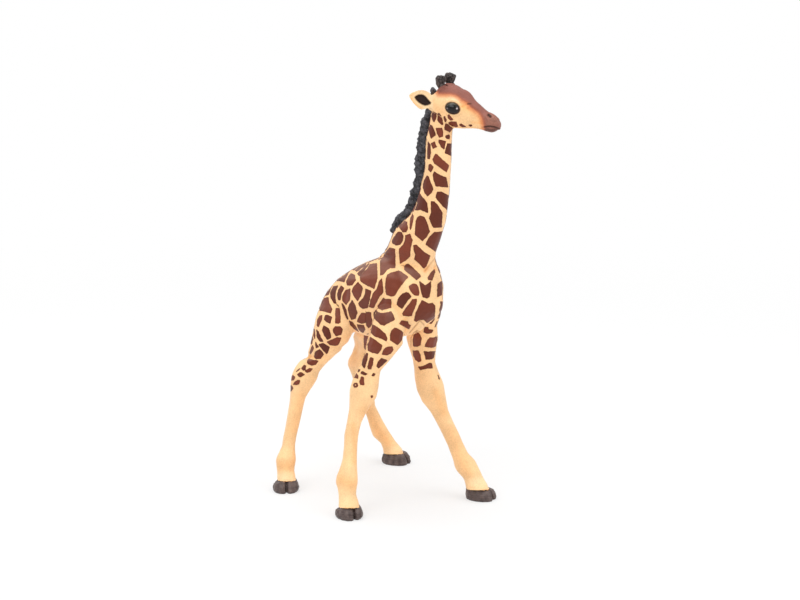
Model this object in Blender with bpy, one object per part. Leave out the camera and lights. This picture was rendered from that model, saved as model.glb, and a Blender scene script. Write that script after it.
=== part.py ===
"""Standing giraffe calf play figure, moulded in pieces that plug together.

The animal faces -Y, its left side is +X and it stands on Z = 0. Lengths are in metres.
Every limb has a root that sits in a pocket of the torso, and every pocket is its piece's own
shape grown by one clearance, so a piece and its pocket always follow each other.
"""

import math

import bmesh
import bpy
from mathutils import Matrix, Vector

# Fits between the pieces
CLEARANCE = 0.0003
PIN_OVERLAP = 0.0012

# Torso
TORSO_LENGTH = 0.0460
TORSO_WIDTH = 0.0184
CHEST_DEPTH = 0.0266
WITHERS_RISE = 0.0138
CHEST_REACH = 0.0200

# Neck
NECK_RISE = 0.0450
NECK_LEAN = 0.0158
NECK_SWAY = 0.0015
NECK_DEPTH = 0.0142
NECK_WIDTH = 0.0118
NECK_SEAT_DEPTH = 0.0053
NECK_SETBACK = 0.0140

# Head
HEAD_LENGTH = 0.0214
HEAD_DEPTH = 0.0116
HEAD_WIDTH = 0.0084
HEAD_YAW = math.radians(28)
HEAD_PITCH = math.radians(14)
HEAD_LIFT = 0.0017

# Eyes, ears and horns
EYE_LENGTH = 0.0042
EYE_HEIGHT = 0.0032
EYE_DEPTH = 0.0030
EAR_LENGTH = 0.0078
EAR_WIDTH = 0.0052
EAR_DEPTH = 0.0030
EAR_ROOT_LENGTH = 0.0014
HORN_HEIGHT = 0.0030
HORN_WIDTH = 0.0032
HORN_ROOT_LENGTH = 0.0016
HORN_SPACING = 0.0054

# Mane
MANE_WIDTH = 0.0036
MANE_HEIGHT = 0.0034
MANE_ROOT_DEPTH = 0.0014

# Legs
FORELEG_HEIGHT = 0.0580
FORELEG_DEPTH = 0.0111
FORELEG_WIDTH = 0.0084
FORELEG_SPREAD = 0.0124
CROUP_DROP = 0.0020
HINDLEG_DEPTH = 0.0177
HINDLEG_WIDTH = 0.0086
HINDLEG_SPREAD = 0.0108
STANCE_FRONT_RIGHT = 0.0146
STANCE_FRONT_LEFT = 0.0119
STANCE_HIND_RIGHT = 0.0126
STANCE_HIND_LEFT = 0.0184

# Hooves
TOE_OUT_FRONT_RIGHT = math.radians(15)
TOE_OUT_FRONT_LEFT = math.radians(22)
TOE_OUT_HIND_RIGHT = math.radians(33)
TOE_OUT_HIND_LEFT = math.radians(22)
HOOF_LENGTH = 0.0086
HOOF_WIDTH = 0.0074
HOOF_HEIGHT = 0.0032
HOOF_PEG_RADIUS = 0.0011
HOOF_PEG_REACH = 0.0015

# Tail
TAIL_DROP = 0.0105
TAIL_THICKNESS = 0.0017
TAIL_ROOT_LENGTH = 0.0030
TUFT_LENGTH = 0.0070
TUFT_WIDTH = 0.0030

LIMB_SIDES = 8
BODY_SIDES = 12
ROUND_SIDES = 16
BALL_RINGS = 10

# The withers rise above the forelegs' tops, and the hind legs' tops lie a little below those.
WITHERS_HEIGHT = FORELEG_HEIGHT + WITHERS_RISE
HINDLEG_HEIGHT = FORELEG_HEIGHT - CROUP_DROP
CORONET_HEIGHT = HOOF_HEIGHT + CLEARANCE

LEFT, BACK, UP = Vector((1, 0, 0)), Vector((0, 1, 0)), Vector((0, 0, 1))

# Torso sections from chest to rump: way along, top and bottom below the withers, half width.
TORSO_SECTION_SHARES = (
    (0.000, 0.33, 0.60, 0.16),
    (0.045, 0.17, 0.73, 0.36),
    (0.130, 0.05, 0.86, 0.46),
    (0.250, -0.01, 0.92, 0.50),
    (0.375, 0.01, 0.965, 0.50),
    (0.500, 0.13, 1.005, 0.50),
    (0.620, 0.22, 1.01, 0.475),
    (0.740, 0.33, 0.945, 0.45),
    (0.840, 0.485, 0.90, 0.42),
    (0.920, 0.625, 0.90, 0.36),
    (0.975, 0.74, 0.89, 0.26),
    (1.000, 0.80, 0.87, 0.13),
)
FORELEG_SHARE = 0.226
HINDLEG_SHARE = 0.728
TAIL_SHARE = 0.965
TAIL_SET_SHARE = 0.74

# Neck sections from seat to poll: rise, lean, sway, half depth, half width.
NECK_SECTION_SHARES = (
    (0.00, 0.030, 0.0, 0.450, 0.465),
    (0.06, 0.190, 0.0, 0.525, 0.500),
    (0.135, 0.355, 0.0, 0.520, 0.485),
    (0.225, 0.530, 0.1, 0.475, 0.435),
    (0.31, 0.690, 0.2, 0.415, 0.385),
    (0.40, 0.795, 0.3, 0.358, 0.345),
    (0.52, 0.877, 0.5, 0.308, 0.310),
    (0.645, 0.925, 0.7, 0.298, 0.290),
    (0.77, 0.948, 0.8, 0.290, 0.283),
    (0.88, 0.957, 0.9, 0.290, 0.283),
    (0.95, 0.976, 1.0, 0.285, 0.280),
    (1.00, 1.000, 1.0, 0.240, 0.240),
)

# Head sections from skull to lips: way along, top, bottom, half width.
HEAD_SECTION_SHARES = (
    (0.000, 0.10, -0.07, 0.16),
    (0.030, 0.22, -0.19, 0.30),
    (0.095, 0.34, -0.29, 0.42),
    (0.190, 0.44, -0.37, 0.48),
    (0.280, 0.485, -0.43, 0.50),
    (0.350, 0.515, -0.455, 0.50),
    (0.420, 0.49, -0.465, 0.475),
    (0.505, 0.41, -0.43, 0.42),
    (0.605, 0.295, -0.375, 0.345),
    (0.705, 0.205, -0.31, 0.285),
    (0.800, 0.14, -0.295, 0.270),
    (0.890, 0.11, -0.305, 0.280),
    (0.957, 0.05, -0.270, 0.235),
    (1.000, -0.04, -0.17, 0.130),
)
SKULL_SHARE = 0.18
EYE_WAY_SHARE = 0.403
EYE_UP_SHARE = 0.045
EYE_OUT_SHARE = 0.44
HORN_WAY_SHARE = 0.185
HORN_UP_SHARE = 0.43
HORN_LEAN_SHARE = 0.10
EAR_WAY_SHARE = 0.150
EAR_UP_SHARE = -0.01
EAR_OUT_SHARE = 0.36
EAR_DIRECTION_SHARES = (0.68, 0.68, 0.22)
EAR_CUP_SHARES = (0.70, -0.70, 0.0)

# Foreleg sections from shoulder to coronet: height above the coronet, half depth, half width.
FORELEG_SECTION_SHARES = (
    (1.000, 0.26, 0.25),
    (0.964, 0.40, 0.38),
    (0.899, 0.49, 0.46),
    (0.830, 0.47, 0.48),
    (0.762, 0.38, 0.45),
    (0.686, 0.33, 0.405),
    (0.613, 0.335, 0.40),
    (0.539, 0.360, 0.425),
    (0.478, 0.320, 0.39),
    (0.411, 0.24, 0.30),
    (0.321, 0.215, 0.25),
    (0.209, 0.215, 0.245),
    (0.121, 0.275, 0.333),
    (0.055, 0.26, 0.31),
    (0.000, 0.285, 0.345),
)

# Hind leg sections from croup to coronet: height above the coronet, half depth, half width.
HINDLEG_SECTION_SHARES = (
    (1.000, 0.20, 0.22),
    (0.962, 0.36, 0.37),
    (0.895, 0.475, 0.46),
    (0.799, 0.40, 0.47),
    (0.714, 0.265, 0.41),
    (0.638, 0.215, 0.35),
    (0.571, 0.245, 0.335),
    (0.495, 0.205, 0.30),
    (0.428, 0.15, 0.245),
    (0.333, 0.130, 0.213),
    (0.200, 0.130, 0.213),
    (0.105, 0.152, 0.28),
    (0.047, 0.142, 0.258),
    (0.000, 0.153, 0.28),
)

# How far back each leg stands from its root at each section, as a share of the leg's height.
STRIDE_FRONT_RIGHT_SHARES = (
    0, -0.009, -0.02, -0.026, 0, 0.036, 0.066, 0.071, 0.078, 0.083, 0.084, 0.064, 0.055, 0.034, 0.005,
)
STRIDE_FRONT_LEFT_SHARES = (
    0, 0.005, 0.016, 0.044, 0.063, 0.081, 0.086, 0.083, 0.069, 0.052, 0.009, -0.036, -0.088, -0.122, -0.166,
)
STRIDE_HIND_RIGHT_SHARES = (
    0, 0.002, 0.009, 0.027, 0.059, 0.112, 0.161, 0.179, 0.189, 0.193, 0.20, 0.193, 0.179, 0.161,
)
STRIDE_HIND_LEFT_SHARES = (
    0, 0.000, 0.002, 0.020, 0.078, 0.158, 0.226, 0.272, 0.284, 0.294, 0.284, 0.260, 0.22, 0.198,
)
# Above this share of its height a leg's root stands upright, and below it splays out.
FORELEG_HIP_SHARE = 0.979
HINDLEG_HIP_SHARE = 0.925

# Half of a cloven hoof's outline from the cleft round to the heel: way forward, way to the side.
HOOF_OUTLINE_SHARES = (
    (0.26, 0.00), (0.46, 0.06), (0.50, 0.15), (0.44, 0.31), (0.28, 0.44), (0.04, 0.50),
    (-0.20, 0.47), (-0.39, 0.34), (-0.49, 0.14), (-0.47, 0.00),
)
# Levels of the hoof: height, size of the outline, shift back.
HOOF_LEVEL_SHARES = ((0.0, 0.93, 0.0), (0.18, 1.0, 0.0), (0.62, 0.955, 0.03), (1.0, 0.84, 0.075))
HOOF_SEAT_SHARE = 0.09

# Ear sections from root to tip: way along, half width, back of the shell, hollow of the cup.
EAR_SECTION_SHARES = (
    (0.02, 0.20, 0.34, 0.18),
    (0.18, 0.36, 0.46, -0.12),
    (0.38, 0.49, 0.50, -0.24),
    (0.60, 0.48, 0.46, -0.24),
    (0.80, 0.34, 0.34, -0.12),
    (0.94, 0.16, 0.20, 0.04),
    (1.00, 0.06, 0.10, 0.06),
)
EAR_ROOT_SHARES = (0.17, 0.30, 0.24)

# Horn sections from base to crown: way up, half width.
HORN_SECTION_SHARES = ((0.00, 0.36), (0.22, 0.38), (0.50, 0.45), (0.76, 0.50), (0.95, 0.38), (1.00, 0.18))
HORN_ROOT_SHARE = 0.30

# Mane crest from withers to poll, as shares of the mane's height, and its three places on the skull.
MANE_CREST_SHARES = (0.85, 1.0, 1.0, 0.88, 0.86, 0.92, 1.0, 0.94, 0.88, 0.72, 0.50, 0.27, 0.14)
MANE_SKULL_SHARES = ((-0.01, -0.05), (0.00, 0.16), (0.05, 0.31))
MANE_END_SHARE = 0.6

# Tail places down from its root: way down the tail, way behind and to the right of the root.
TAIL_PLACE_SHARES = (
    (0.00, 0.06, 0.0), (0.14, 0.20, 0.0), (0.40, 0.24, 0.02), (0.70, 0.22, 0.05), (1.0, 0.17, 0.09),
)
TAIL_TAPER_SHARES = (0.50, 0.50, 0.48, 0.42, 0.38, 0.34)
# Tuft sections: way down from the tail's end, half width.
TUFT_SECTION_SHARES = (
    (-0.16, 0.30), (0.0, 0.36), (0.25, 0.46), (0.50, 0.50), (0.75, 0.40), (0.92, 0.24), (1.0, 0.12),
)


def remove_old_objects():
    for old in list(bpy.data.objects):
        bpy.data.objects.remove(old)


def material(name, colour, roughness):
    made = bpy.data.materials.new(name)
    made.use_nodes = True
    shader = made.node_tree.nodes["Principled BSDF"]
    shader.inputs["Base Color"].default_value = (*colour, 1)
    shader.inputs["Roughness"].default_value = roughness
    shader.inputs["Metallic"].default_value = 0
    return made


def link(name, mesh, finish=None):
    mesh.shade_smooth()
    made = bpy.data.objects.new(name, mesh)
    bpy.context.scene.collection.objects.link(made)
    if finish:
        mesh.materials.append(finish)
    return made


def as_tool(tool):
    """Marks a cutter or a joined shape, which shows only through its Boolean."""
    tool.hide_render = True
    tool.display_type = "WIRE"
    return tool


def boolean(piece, tool, operation="DIFFERENCE"):
    step = piece.modifiers.new(tool.name, "BOOLEAN")
    step.operation = operation
    step.object = as_tool(tool)


def subdivided(piece, levels=1):
    step = piece.modifiers.new("skin", "SUBSURF")
    step.levels = levels
    step.render_levels = levels
    return piece


def cage_swell(sides):
    """A subdivided ring settles inside its cage by this factor."""
    return 6 / (4 + 2 * math.cos(math.tau / sides))


def ring(centre, side, front, half_side, half_front, half_back, sides):
    """Points of an egg-shaped section, from its left round by the front."""
    swell = cage_swell(sides)
    points = []
    for step in range(sides):
        turn = math.tau * step / sides
        reach = half_front if math.sin(turn) > 0 else half_back
        across = side * (half_side * math.cos(turn))
        points.append(centre + (across + front * (reach * math.sin(turn))) * swell)
    return points


def loft(rings, flat_ends=True):
    """A closed skin through rings of equal count; flat ends keep a crisp rim under subdivision."""
    mesh = bpy.data.meshes.new("loft")
    shape = bmesh.new()
    crease = shape.edges.layers.float.new("crease_edge")
    loops = [[shape.verts.new(point) for point in points] for points in rings]
    for low, high in zip(loops, loops[1:]):
        for index, vert in enumerate(low):
            after = (index + 1) % len(low)
            shape.faces.new((vert, low[after], high[after], high[index]))
    for cap in (shape.faces.new(loops[0]), shape.faces.new(loops[-1])):
        for edge in cap.edges:
            edge[crease] = 1 if flat_ends else 0
    bmesh.ops.recalc_face_normals(shape, faces=shape.faces)
    shape.to_mesh(mesh)
    shape.free()
    return mesh


def tangents(points):
    ends = [points[0]] + list(points) + [points[-1]]
    return [(after - before).normalized() for before, after in zip(ends, ends[2:])]


def round_bar(name, start, end, radius):
    """A plain round bar between two points."""
    along = end - start
    shape = bmesh.new()
    bmesh.ops.create_cone(
        shape, cap_ends=True, segments=ROUND_SIDES, radius1=radius, radius2=radius, depth=along.length
    )
    place = Matrix.Translation((start + end) / 2) @ along.to_track_quat("Z", "Y").to_matrix().to_4x4()
    bmesh.ops.transform(shape, matrix=place, verts=shape.verts)
    mesh = bpy.data.meshes.new(name)
    shape.to_mesh(mesh)
    shape.free()
    return link(name, mesh)


def mirrored(vector, hand):
    """hand is 1 for the animal's left and -1 for its right."""
    return Vector((vector.x * hand, vector.y, vector.z))


def torso_rings(grow=0):
    rings = []
    last = len(TORSO_SECTION_SHARES) - 1
    for index, (way, top, bottom, half) in enumerate(TORSO_SECTION_SHARES):
        y = way * TORSO_LENGTH - CHEST_REACH + grow * (2 * index / last - 1)
        high = WITHERS_HEIGHT - top * CHEST_DEPTH
        low = WITHERS_HEIGHT - bottom * CHEST_DEPTH
        centre = Vector((0, y, (high + low) / 2))
        reach = (high - low) / 2 + grow
        rings.append(ring(centre, LEFT, UP, half * TORSO_WIDTH + grow, reach, reach, BODY_SIDES))
    return rings


def torso_place(way, drop):
    """A point of the torso's middle plane: way back from the chest, drop below the withers."""
    return Vector((0, way * TORSO_LENGTH - CHEST_REACH, WITHERS_HEIGHT - drop * CHEST_DEPTH))


def neck_line():
    base = Vector((0, NECK_SETBACK - CHEST_REACH, WITHERS_HEIGHT - NECK_SEAT_DEPTH))
    places = []
    for rise, lean, sway, half_depth, half_width in NECK_SECTION_SHARES:
        ahead = -BACK * (lean * NECK_LEAN)
        places.append(base + UP * (rise * NECK_RISE) + ahead + LEFT * (sway * NECK_SWAY))
    return places


def section_axes(way):
    """The side and front directions of a section square to the way along a limb."""
    side = BACK.cross(way).normalized()
    return side, side.cross(way).normalized()


def neck_rings(grow=0):
    places = neck_line()
    rings = []
    for index, (place, way, row) in enumerate(zip(places, tangents(places), NECK_SECTION_SHARES)):
        side, front = section_axes(way)
        end = grow * ((index == len(places) - 1) - (index == 0))
        depth = row[3] * NECK_DEPTH + grow
        width = row[4] * NECK_WIDTH + grow
        rings.append(ring(place + way * end, side, front, width, depth, depth, BODY_SIDES))
    return rings


def head_frame():
    """The head's own axes, X left, Y back and Z up, with the skull's centre as origin."""
    turn = Matrix.Rotation(HEAD_YAW, 4, "Z") @ Matrix.Rotation(HEAD_PITCH, 4, "X")
    return Matrix.Translation(neck_line()[-1] + UP * HEAD_LIFT) @ turn


def head_point(way, up, out=0.0):
    """A place in the head: way from skull to lips, up as a share of its depth, out of its width."""
    return head_frame() @ Vector((out * HEAD_WIDTH, -(way - SKULL_SHARE) * HEAD_LENGTH, up * HEAD_DEPTH))


def head_direction(local):
    return (head_frame().to_3x3() @ Vector(local)).normalized()


def head_rings(grow=0):
    rings = []
    side, up, ahead = head_direction(LEFT), head_direction(UP), head_direction(-BACK)
    last = len(HEAD_SECTION_SHARES) - 1
    for index, (way, top, bottom, half) in enumerate(HEAD_SECTION_SHARES):
        centre = head_point(way, (top + bottom) / 2) + ahead * (grow * (2 * index / last - 1))
        reach = (top - bottom) / 2 * HEAD_DEPTH + grow
        rings.append(ring(centre, side, up, half * HEAD_WIDTH + grow, reach, reach, BODY_SIDES))
    return rings


def leg_line(root, stance, height, hip, strides, sections, hand):
    """A leg's places from its root down; it splays by its stance from the hip to the coronet."""
    places = []
    for back, row in zip(strides, sections):
        splay = max(0, 1 - row[0] / hip)
        rise = CORONET_HEIGHT + row[0] * (height - CORONET_HEIGHT)
        places.append(mirrored(Vector((root.x + splay * stance, root.y + back * height, rise)), hand))
    return places


def leg_rings(places, sections, depth, width, grow=0):
    rings = []
    ways = tangents(places)
    ways[-1] = -UP
    for index, (place, way, row) in enumerate(zip(places, ways, sections)):
        side, front = section_axes(way)
        end = grow * ((index == len(places) - 1) - (index == 0))
        half_side, half_depth = row[2] * width + grow, row[1] * depth + grow
        rings.append(ring(place + way * end, side, front, half_side, half_depth, half_depth, LIMB_SIDES))
    return rings


def hoof(name, place, yaw, finish):
    """A cloven hoof with its sole on the floor and its seat under the leg's end."""
    outline = list(HOOF_OUTLINE_SHARES) + [(way, -side) for way, side in HOOF_OUTLINE_SHARES[-2:0:-1]]
    turn = Matrix.Rotation(yaw, 3, "Z")
    rings = []
    for height, size, back in HOOF_LEVEL_SHARES:
        points = []
        for way, side in outline:
            ahead = (way * size - back + HOOF_SEAT_SHARE) * HOOF_LENGTH
            local = turn @ Vector((side * size * HOOF_WIDTH, -ahead, 0))
            points.append(Vector((place.x + local.x, place.y + local.y, height * HOOF_HEIGHT)))
        rings.append(points)
    return link(name, loft(rings), finish)


def build_leg(name, plan, finishes):
    """A leg and its hoof; gives back the cutter of the pocket that the leg's root sits in."""
    places = leg_line(plan["root"], plan["stance"], plan["height"], plan["hip"],
                      plan["strides"], plan["sections"], plan["hand"])
    sizes = (plan["sections"], plan["depth"], plan["width"])
    leg = subdivided(link("leg_" + name, loft(leg_rings(places, *sizes)), finishes["hide"]))
    pocket = subdivided(link("pocket_" + name, loft(leg_rings(places, *sizes, CLEARANCE))))

    ankle = places[-1]
    foot = hoof("hoof_" + name, ankle, plan["hand"] * plan["toe_out"], finishes["hoof"])
    top = ankle + UP * PIN_OVERLAP
    seat = Vector((ankle.x, ankle.y, HOOF_HEIGHT - HOOF_PEG_REACH))
    boolean(leg, round_bar("pin_" + name, top, seat, HOOF_PEG_RADIUS), "UNION")
    boolean(foot, round_bar("pin_hole_" + name, top, seat - UP * CLEARANCE, HOOF_PEG_RADIUS + CLEARANCE))
    return pocket


def build_legs(finishes):
    fore = {
        "root": torso_place(FORELEG_SHARE, 0) + LEFT * (FORELEG_SPREAD / 2), "height": FORELEG_HEIGHT,
        "hip": FORELEG_HIP_SHARE, "sections": FORELEG_SECTION_SHARES, "depth": FORELEG_DEPTH,
        "width": FORELEG_WIDTH,
    }
    hind = {
        "root": torso_place(HINDLEG_SHARE, 0) + LEFT * (HINDLEG_SPREAD / 2), "height": HINDLEG_HEIGHT,
        "hip": HINDLEG_HIP_SHARE, "sections": HINDLEG_SECTION_SHARES, "depth": HINDLEG_DEPTH,
        "width": HINDLEG_WIDTH,
    }
    plans = (
        ("front_right", fore, STANCE_FRONT_RIGHT, STRIDE_FRONT_RIGHT_SHARES, -1, TOE_OUT_FRONT_RIGHT),
        ("front_left", fore, STANCE_FRONT_LEFT, STRIDE_FRONT_LEFT_SHARES, 1, TOE_OUT_FRONT_LEFT),
        ("hind_right", hind, STANCE_HIND_RIGHT, STRIDE_HIND_RIGHT_SHARES, -1, TOE_OUT_HIND_RIGHT),
        ("hind_left", hind, STANCE_HIND_LEFT, STRIDE_HIND_LEFT_SHARES, 1, TOE_OUT_HIND_LEFT),
    )
    cutters = []
    for name, shared, stance, strides, hand, toe_out in plans:
        plan = {**shared, "stance": stance, "strides": strides, "hand": hand, "toe_out": toe_out}
        cutters.append(build_leg(name, plan, finishes))
    return cutters


def eye_ball(name, hand, grow=0):
    """An almond eyeball; grown by the clearance it is the cutter of its own socket."""
    shape = bmesh.new()
    bmesh.ops.create_uvsphere(shape, u_segments=ROUND_SIDES, v_segments=BALL_RINGS, radius=0.5)
    size = [EYE_DEPTH + 2 * grow, EYE_LENGTH + 2 * grow, EYE_HEIGHT + 2 * grow]
    place = Matrix.Translation(head_point(EYE_WAY_SHARE, EYE_UP_SHARE, hand * EYE_OUT_SHARE))
    place = place @ head_frame().to_3x3().to_4x4() @ Matrix.Diagonal(size + [1])
    bmesh.ops.transform(shape, matrix=place, verts=shape.verts)
    mesh = bpy.data.meshes.new(name)
    shape.to_mesh(mesh)
    shape.free()
    return mesh


def ear_rings(hand, grow=0):
    out, back, up = EAR_DIRECTION_SHARES
    way = head_direction((out * hand, back, up))
    out, back, up = EAR_CUP_SHARES
    cup = head_direction((out * hand, back, up))
    cup = (cup - way * cup.dot(way)).normalized()
    side = way.cross(cup)
    root = head_point(EAR_WAY_SHARE, EAR_UP_SHARE, hand * EAR_OUT_SHARE)
    rows = [(-EAR_ROOT_LENGTH, *EAR_ROOT_SHARES)]
    rows += [(share * EAR_LENGTH, *row) for share, *row in EAR_SECTION_SHARES]
    rings = []
    for index, (along, half, shell, hollow) in enumerate(rows):
        end = grow * ((index == len(rows) - 1) - (index == 0))
        rings.append(
            ring(root + way * (along + end), side, cup, half * EAR_WIDTH + grow,
                 hollow * EAR_DEPTH + grow, shell * EAR_DEPTH + grow, LIMB_SIDES)
        )
    return rings


def horn_rings(hand, grow=0):
    base = head_point(HORN_WAY_SHARE, HORN_UP_SHARE) + head_direction(LEFT) * (hand * HORN_SPACING / 2)
    way = head_direction((HORN_LEAN_SHARE * hand, math.tan(HEAD_PITCH), 1))
    side = head_direction(LEFT)
    front = way.cross(side).normalized()
    rows = [(-HORN_ROOT_LENGTH, HORN_ROOT_SHARE)]
    rows += [(share * HORN_HEIGHT, half) for share, half in HORN_SECTION_SHARES]
    rings = []
    for index, (along, half) in enumerate(rows):
        end = grow * ((index == len(rows) - 1) - (index == 0))
        radius = half * HORN_WIDTH + grow
        rings.append(ring(base + way * (along + end), side, front, radius, radius, radius, LIMB_SIDES))
    return rings


def mane_rings():
    """The mane's strip, from the withers up the back of the neck and on over the skull."""
    places, fronts = [], []
    line = neck_line()
    for place, way, row in list(zip(line, tangents(line), NECK_SECTION_SHARES))[2:]:
        front = section_axes(way)[1]
        places.append(place - front * (row[3] * NECK_DEPTH))
        fronts.append(front)
    for way, up in MANE_SKULL_SHARES:
        places.append(head_point(way, up))
        fronts.append(head_direction(-BACK))
    rings = []
    ways = tangents(places)
    for place, front, way, crest in zip(places, fronts, ways, MANE_CREST_SHARES):
        side = front.cross(way).normalized()
        front = way.cross(side).normalized()
        half = MANE_WIDTH / 2 * (MANE_END_SHARE + (1 - MANE_END_SHARE) * crest)
        rings.append(ring(place, side, front, half, MANE_ROOT_DEPTH, crest * MANE_HEIGHT, LIMB_SIDES))
    return rings


def tail_line():
    root = torso_place(TAIL_SHARE, TAIL_SET_SHARE)
    places = [root - BACK * TAIL_ROOT_LENGTH]
    for down, back, right in TAIL_PLACE_SHARES:
        places.append(root + (BACK * back - UP * down - LEFT * right) * TAIL_DROP)
    return places


def tube_rings(places, radii, grow=0):
    """A tapering round limb through the places, square to its way at each."""
    rings = []
    for index, (place, way, radius) in enumerate(zip(places, tangents(places), radii)):
        side = LEFT
        front = way.cross(side).normalized()
        end = grow * ((index == len(places) - 1) - (index == 0))
        half = radius + grow
        rings.append(ring(place + way * end, side, front, half, half, half, LIMB_SIDES))
    return rings


def build_tail(finishes):
    """The tail and its tuft; gives back the cutter of the tail's pocket in the torso."""
    places = tail_line()
    radii = [share * TAIL_THICKNESS for share in TAIL_TAPER_SHARES]
    tail = loft(tube_rings(places, radii))
    subdivided(link("tail", tail, finishes["hide"]))
    pocket = subdivided(link("pocket_tail", loft(tube_rings(places, radii, CLEARANCE))))
    end = places[-1]
    tuft_places = [end - UP * (down * TUFT_LENGTH) for down, half in TUFT_SECTION_SHARES]
    tuft_radii = [half * TUFT_WIDTH for down, half in TUFT_SECTION_SHARES]
    tuft = subdivided(link("tail_tuft", loft(tube_rings(tuft_places, tuft_radii)), finishes["mane"]))
    boolean(tuft, pocket)
    return pocket


def stand_on_origin():
    """Moves everything so that the origin is the middle of the figure's base."""
    bpy.context.view_layer.update()
    graph = bpy.context.evaluated_depsgraph_get()
    points = []
    for piece in bpy.data.objects:
        if not piece.hide_render:
            shaped = piece.evaluated_get(graph)
            points += [piece.matrix_world @ vert.co for vert in shaped.data.vertices]
    low = Vector(map(min, zip(*points)))
    high = Vector(map(max, zip(*points)))
    for piece in bpy.data.objects:
        piece.location -= Vector(((low.x + high.x) / 2, (low.y + high.y) / 2, low.z))


def main():
    remove_old_objects()
    finishes = {
        "hide": material("spotted_hide", (0.42, 0.16, 0.09), 0.45),
        "hoof": material("hoof_horn", (0.11, 0.085, 0.075), 0.5),
        "mane": material("mane_hair", (0.025, 0.027, 0.032), 0.6),
        "horn": material("horn_tuft", (0.05, 0.045, 0.045), 0.6),
        "eye": material("eye_gloss", (0.01, 0.009, 0.01), 0.12),
    }
    torso = subdivided(link("torso", loft(torso_rings(), False), finishes["hide"]))
    cutters = build_legs(finishes)
    subdivided(link("neck", loft(neck_rings()), finishes["hide"]))
    neck_pocket = subdivided(link("pocket_neck", loft(neck_rings(CLEARANCE))))
    for cutter in cutters + [neck_pocket, build_tail(finishes)]:
        boolean(torso, cutter)

    head = subdivided(link("head", loft(head_rings(), False), finishes["hide"]))
    boolean(head, neck_pocket)
    for name, hand in (("left", 1), ("right", -1)):
        link("eye_" + name, eye_ball("eye", hand), finishes["eye"])
        boolean(head, link("socket_eye_" + name, eye_ball("socket", hand, CLEARANCE)))
        subdivided(link("ear_" + name, loft(ear_rings(hand)), finishes["hide"]))
        boolean(head, subdivided(link("pocket_ear_" + name, loft(ear_rings(hand, CLEARANCE)))))
        subdivided(link("ossicone_" + name, loft(horn_rings(hand)), finishes["horn"]))
        boolean(head, subdivided(link("pocket_horn_" + name, loft(horn_rings(hand, CLEARANCE)))))

    mane = subdivided(link("mane", loft(mane_rings(), False), finishes["mane"]))
    boolean(mane, neck_pocket)
    boolean(mane, subdivided(link("grown_head", loft(head_rings(CLEARANCE), False))))
    boolean(mane, subdivided(link("grown_torso", loft(torso_rings(CLEARANCE), False))))
    stand_on_origin()


main()
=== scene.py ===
"""Looks of the hand-painted giraffe calf figure: sculpted skin, painted coat, mane, horns and hooves."""

import math

import bmesh
import bpy
import numpy as np
from mathutils import Matrix, Vector, kdtree, noise
from mathutils.bvhtree import BVHTree


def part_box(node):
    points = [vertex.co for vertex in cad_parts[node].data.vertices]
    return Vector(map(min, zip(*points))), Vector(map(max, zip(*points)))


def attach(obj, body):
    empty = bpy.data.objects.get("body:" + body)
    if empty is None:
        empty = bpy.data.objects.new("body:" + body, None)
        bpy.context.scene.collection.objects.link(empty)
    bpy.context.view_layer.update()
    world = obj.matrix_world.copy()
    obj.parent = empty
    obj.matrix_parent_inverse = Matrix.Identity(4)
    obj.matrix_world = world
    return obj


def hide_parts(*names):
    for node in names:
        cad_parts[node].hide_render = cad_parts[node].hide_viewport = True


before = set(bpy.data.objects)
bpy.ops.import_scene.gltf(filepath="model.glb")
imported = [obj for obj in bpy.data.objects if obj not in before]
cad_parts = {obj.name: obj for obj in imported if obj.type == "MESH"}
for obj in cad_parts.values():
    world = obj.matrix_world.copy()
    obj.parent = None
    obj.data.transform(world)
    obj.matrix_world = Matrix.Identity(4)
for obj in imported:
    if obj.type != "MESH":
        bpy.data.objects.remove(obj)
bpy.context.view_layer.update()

MM = 0.001

# The photograph's view of the figure
PHOTO_SIZE = (800, 600)
VIEW_AZIMUTH = math.radians(-40)
VIEW_ELEVATION = math.radians(12)
VIEW_PLACE = Vector((-0.4438, -0.5312, 0.2035))
LENS = 115
SENSOR = 36
PIXELS_PER_SLOPE = LENS / SENSOR * PHOTO_SIZE[0]

# Skin
HIDE_NODES = ("torso", "neck", "head", "ear_left", "ear_right", "leg_front_left", "leg_front_right",
              "leg_hind_left", "leg_hind_right", "tail")
LEGS = ("leg_front_left", "leg_front_right", "leg_hind_left", "leg_hind_right")
EARS = ("ear_left", "ear_right")
HORNS = ("ossicone_left", "ossicone_right")
SEAM_GROW = 0.2 * MM
SOCKET_GROW = 0.35 * MM
SKIN_VOXEL = 0.25 * MM
SKIN_ROUNDS = 40
HEAD_ZOOM = 1.7
HEAD_REACH = 13 * MM
WELD = 0.001 * MM
LEAST_NORMAL = 1e-20
MIRROR = np.array([-1, 1, 1])

# Voxel size and rounds of smoothing of the smaller pieces
MANE_MESH = (0.16 * MM, 8)
TAIL_TUFT_MESH = (0.16 * MM, 8)
HORN_MESH = (0.13 * MM, 8)
EYE_MESH = (0.12 * MM, 10)
HOOF_MESH = (0.18 * MM, 6)

# Soft noise: its waves, the range of their lengths, and what brings their sum to about 1
NOISE_WAVES = 7
NOISE_LENGTHS = (0.7, 1.6)
NOISE_SUM = 3.2

# Turn and nod of the head, as the solids have them
HEAD_YAW = math.radians(28)
HEAD_PITCH = math.radians(14)

# Coat, as depths inside a brown patch: half a cream line, how far the paint spreads, and what stands
# for plain cream in the middle of the drawn coat, near its border and on the ears
LINE_HALF_WIDTH = 0.24 * MM
PAINT_SPREAD = 0.13 * MM
NO_PATCH = -3 * MM
BARE_DRAWN = -0.3 * MM
BARE_EAR = -2 * MM

# How many pixels round an outline are looked at, and from which share a point counts as well seen
PATCH_MARGIN = 6
WELL_SEEN = 0.98

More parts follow.
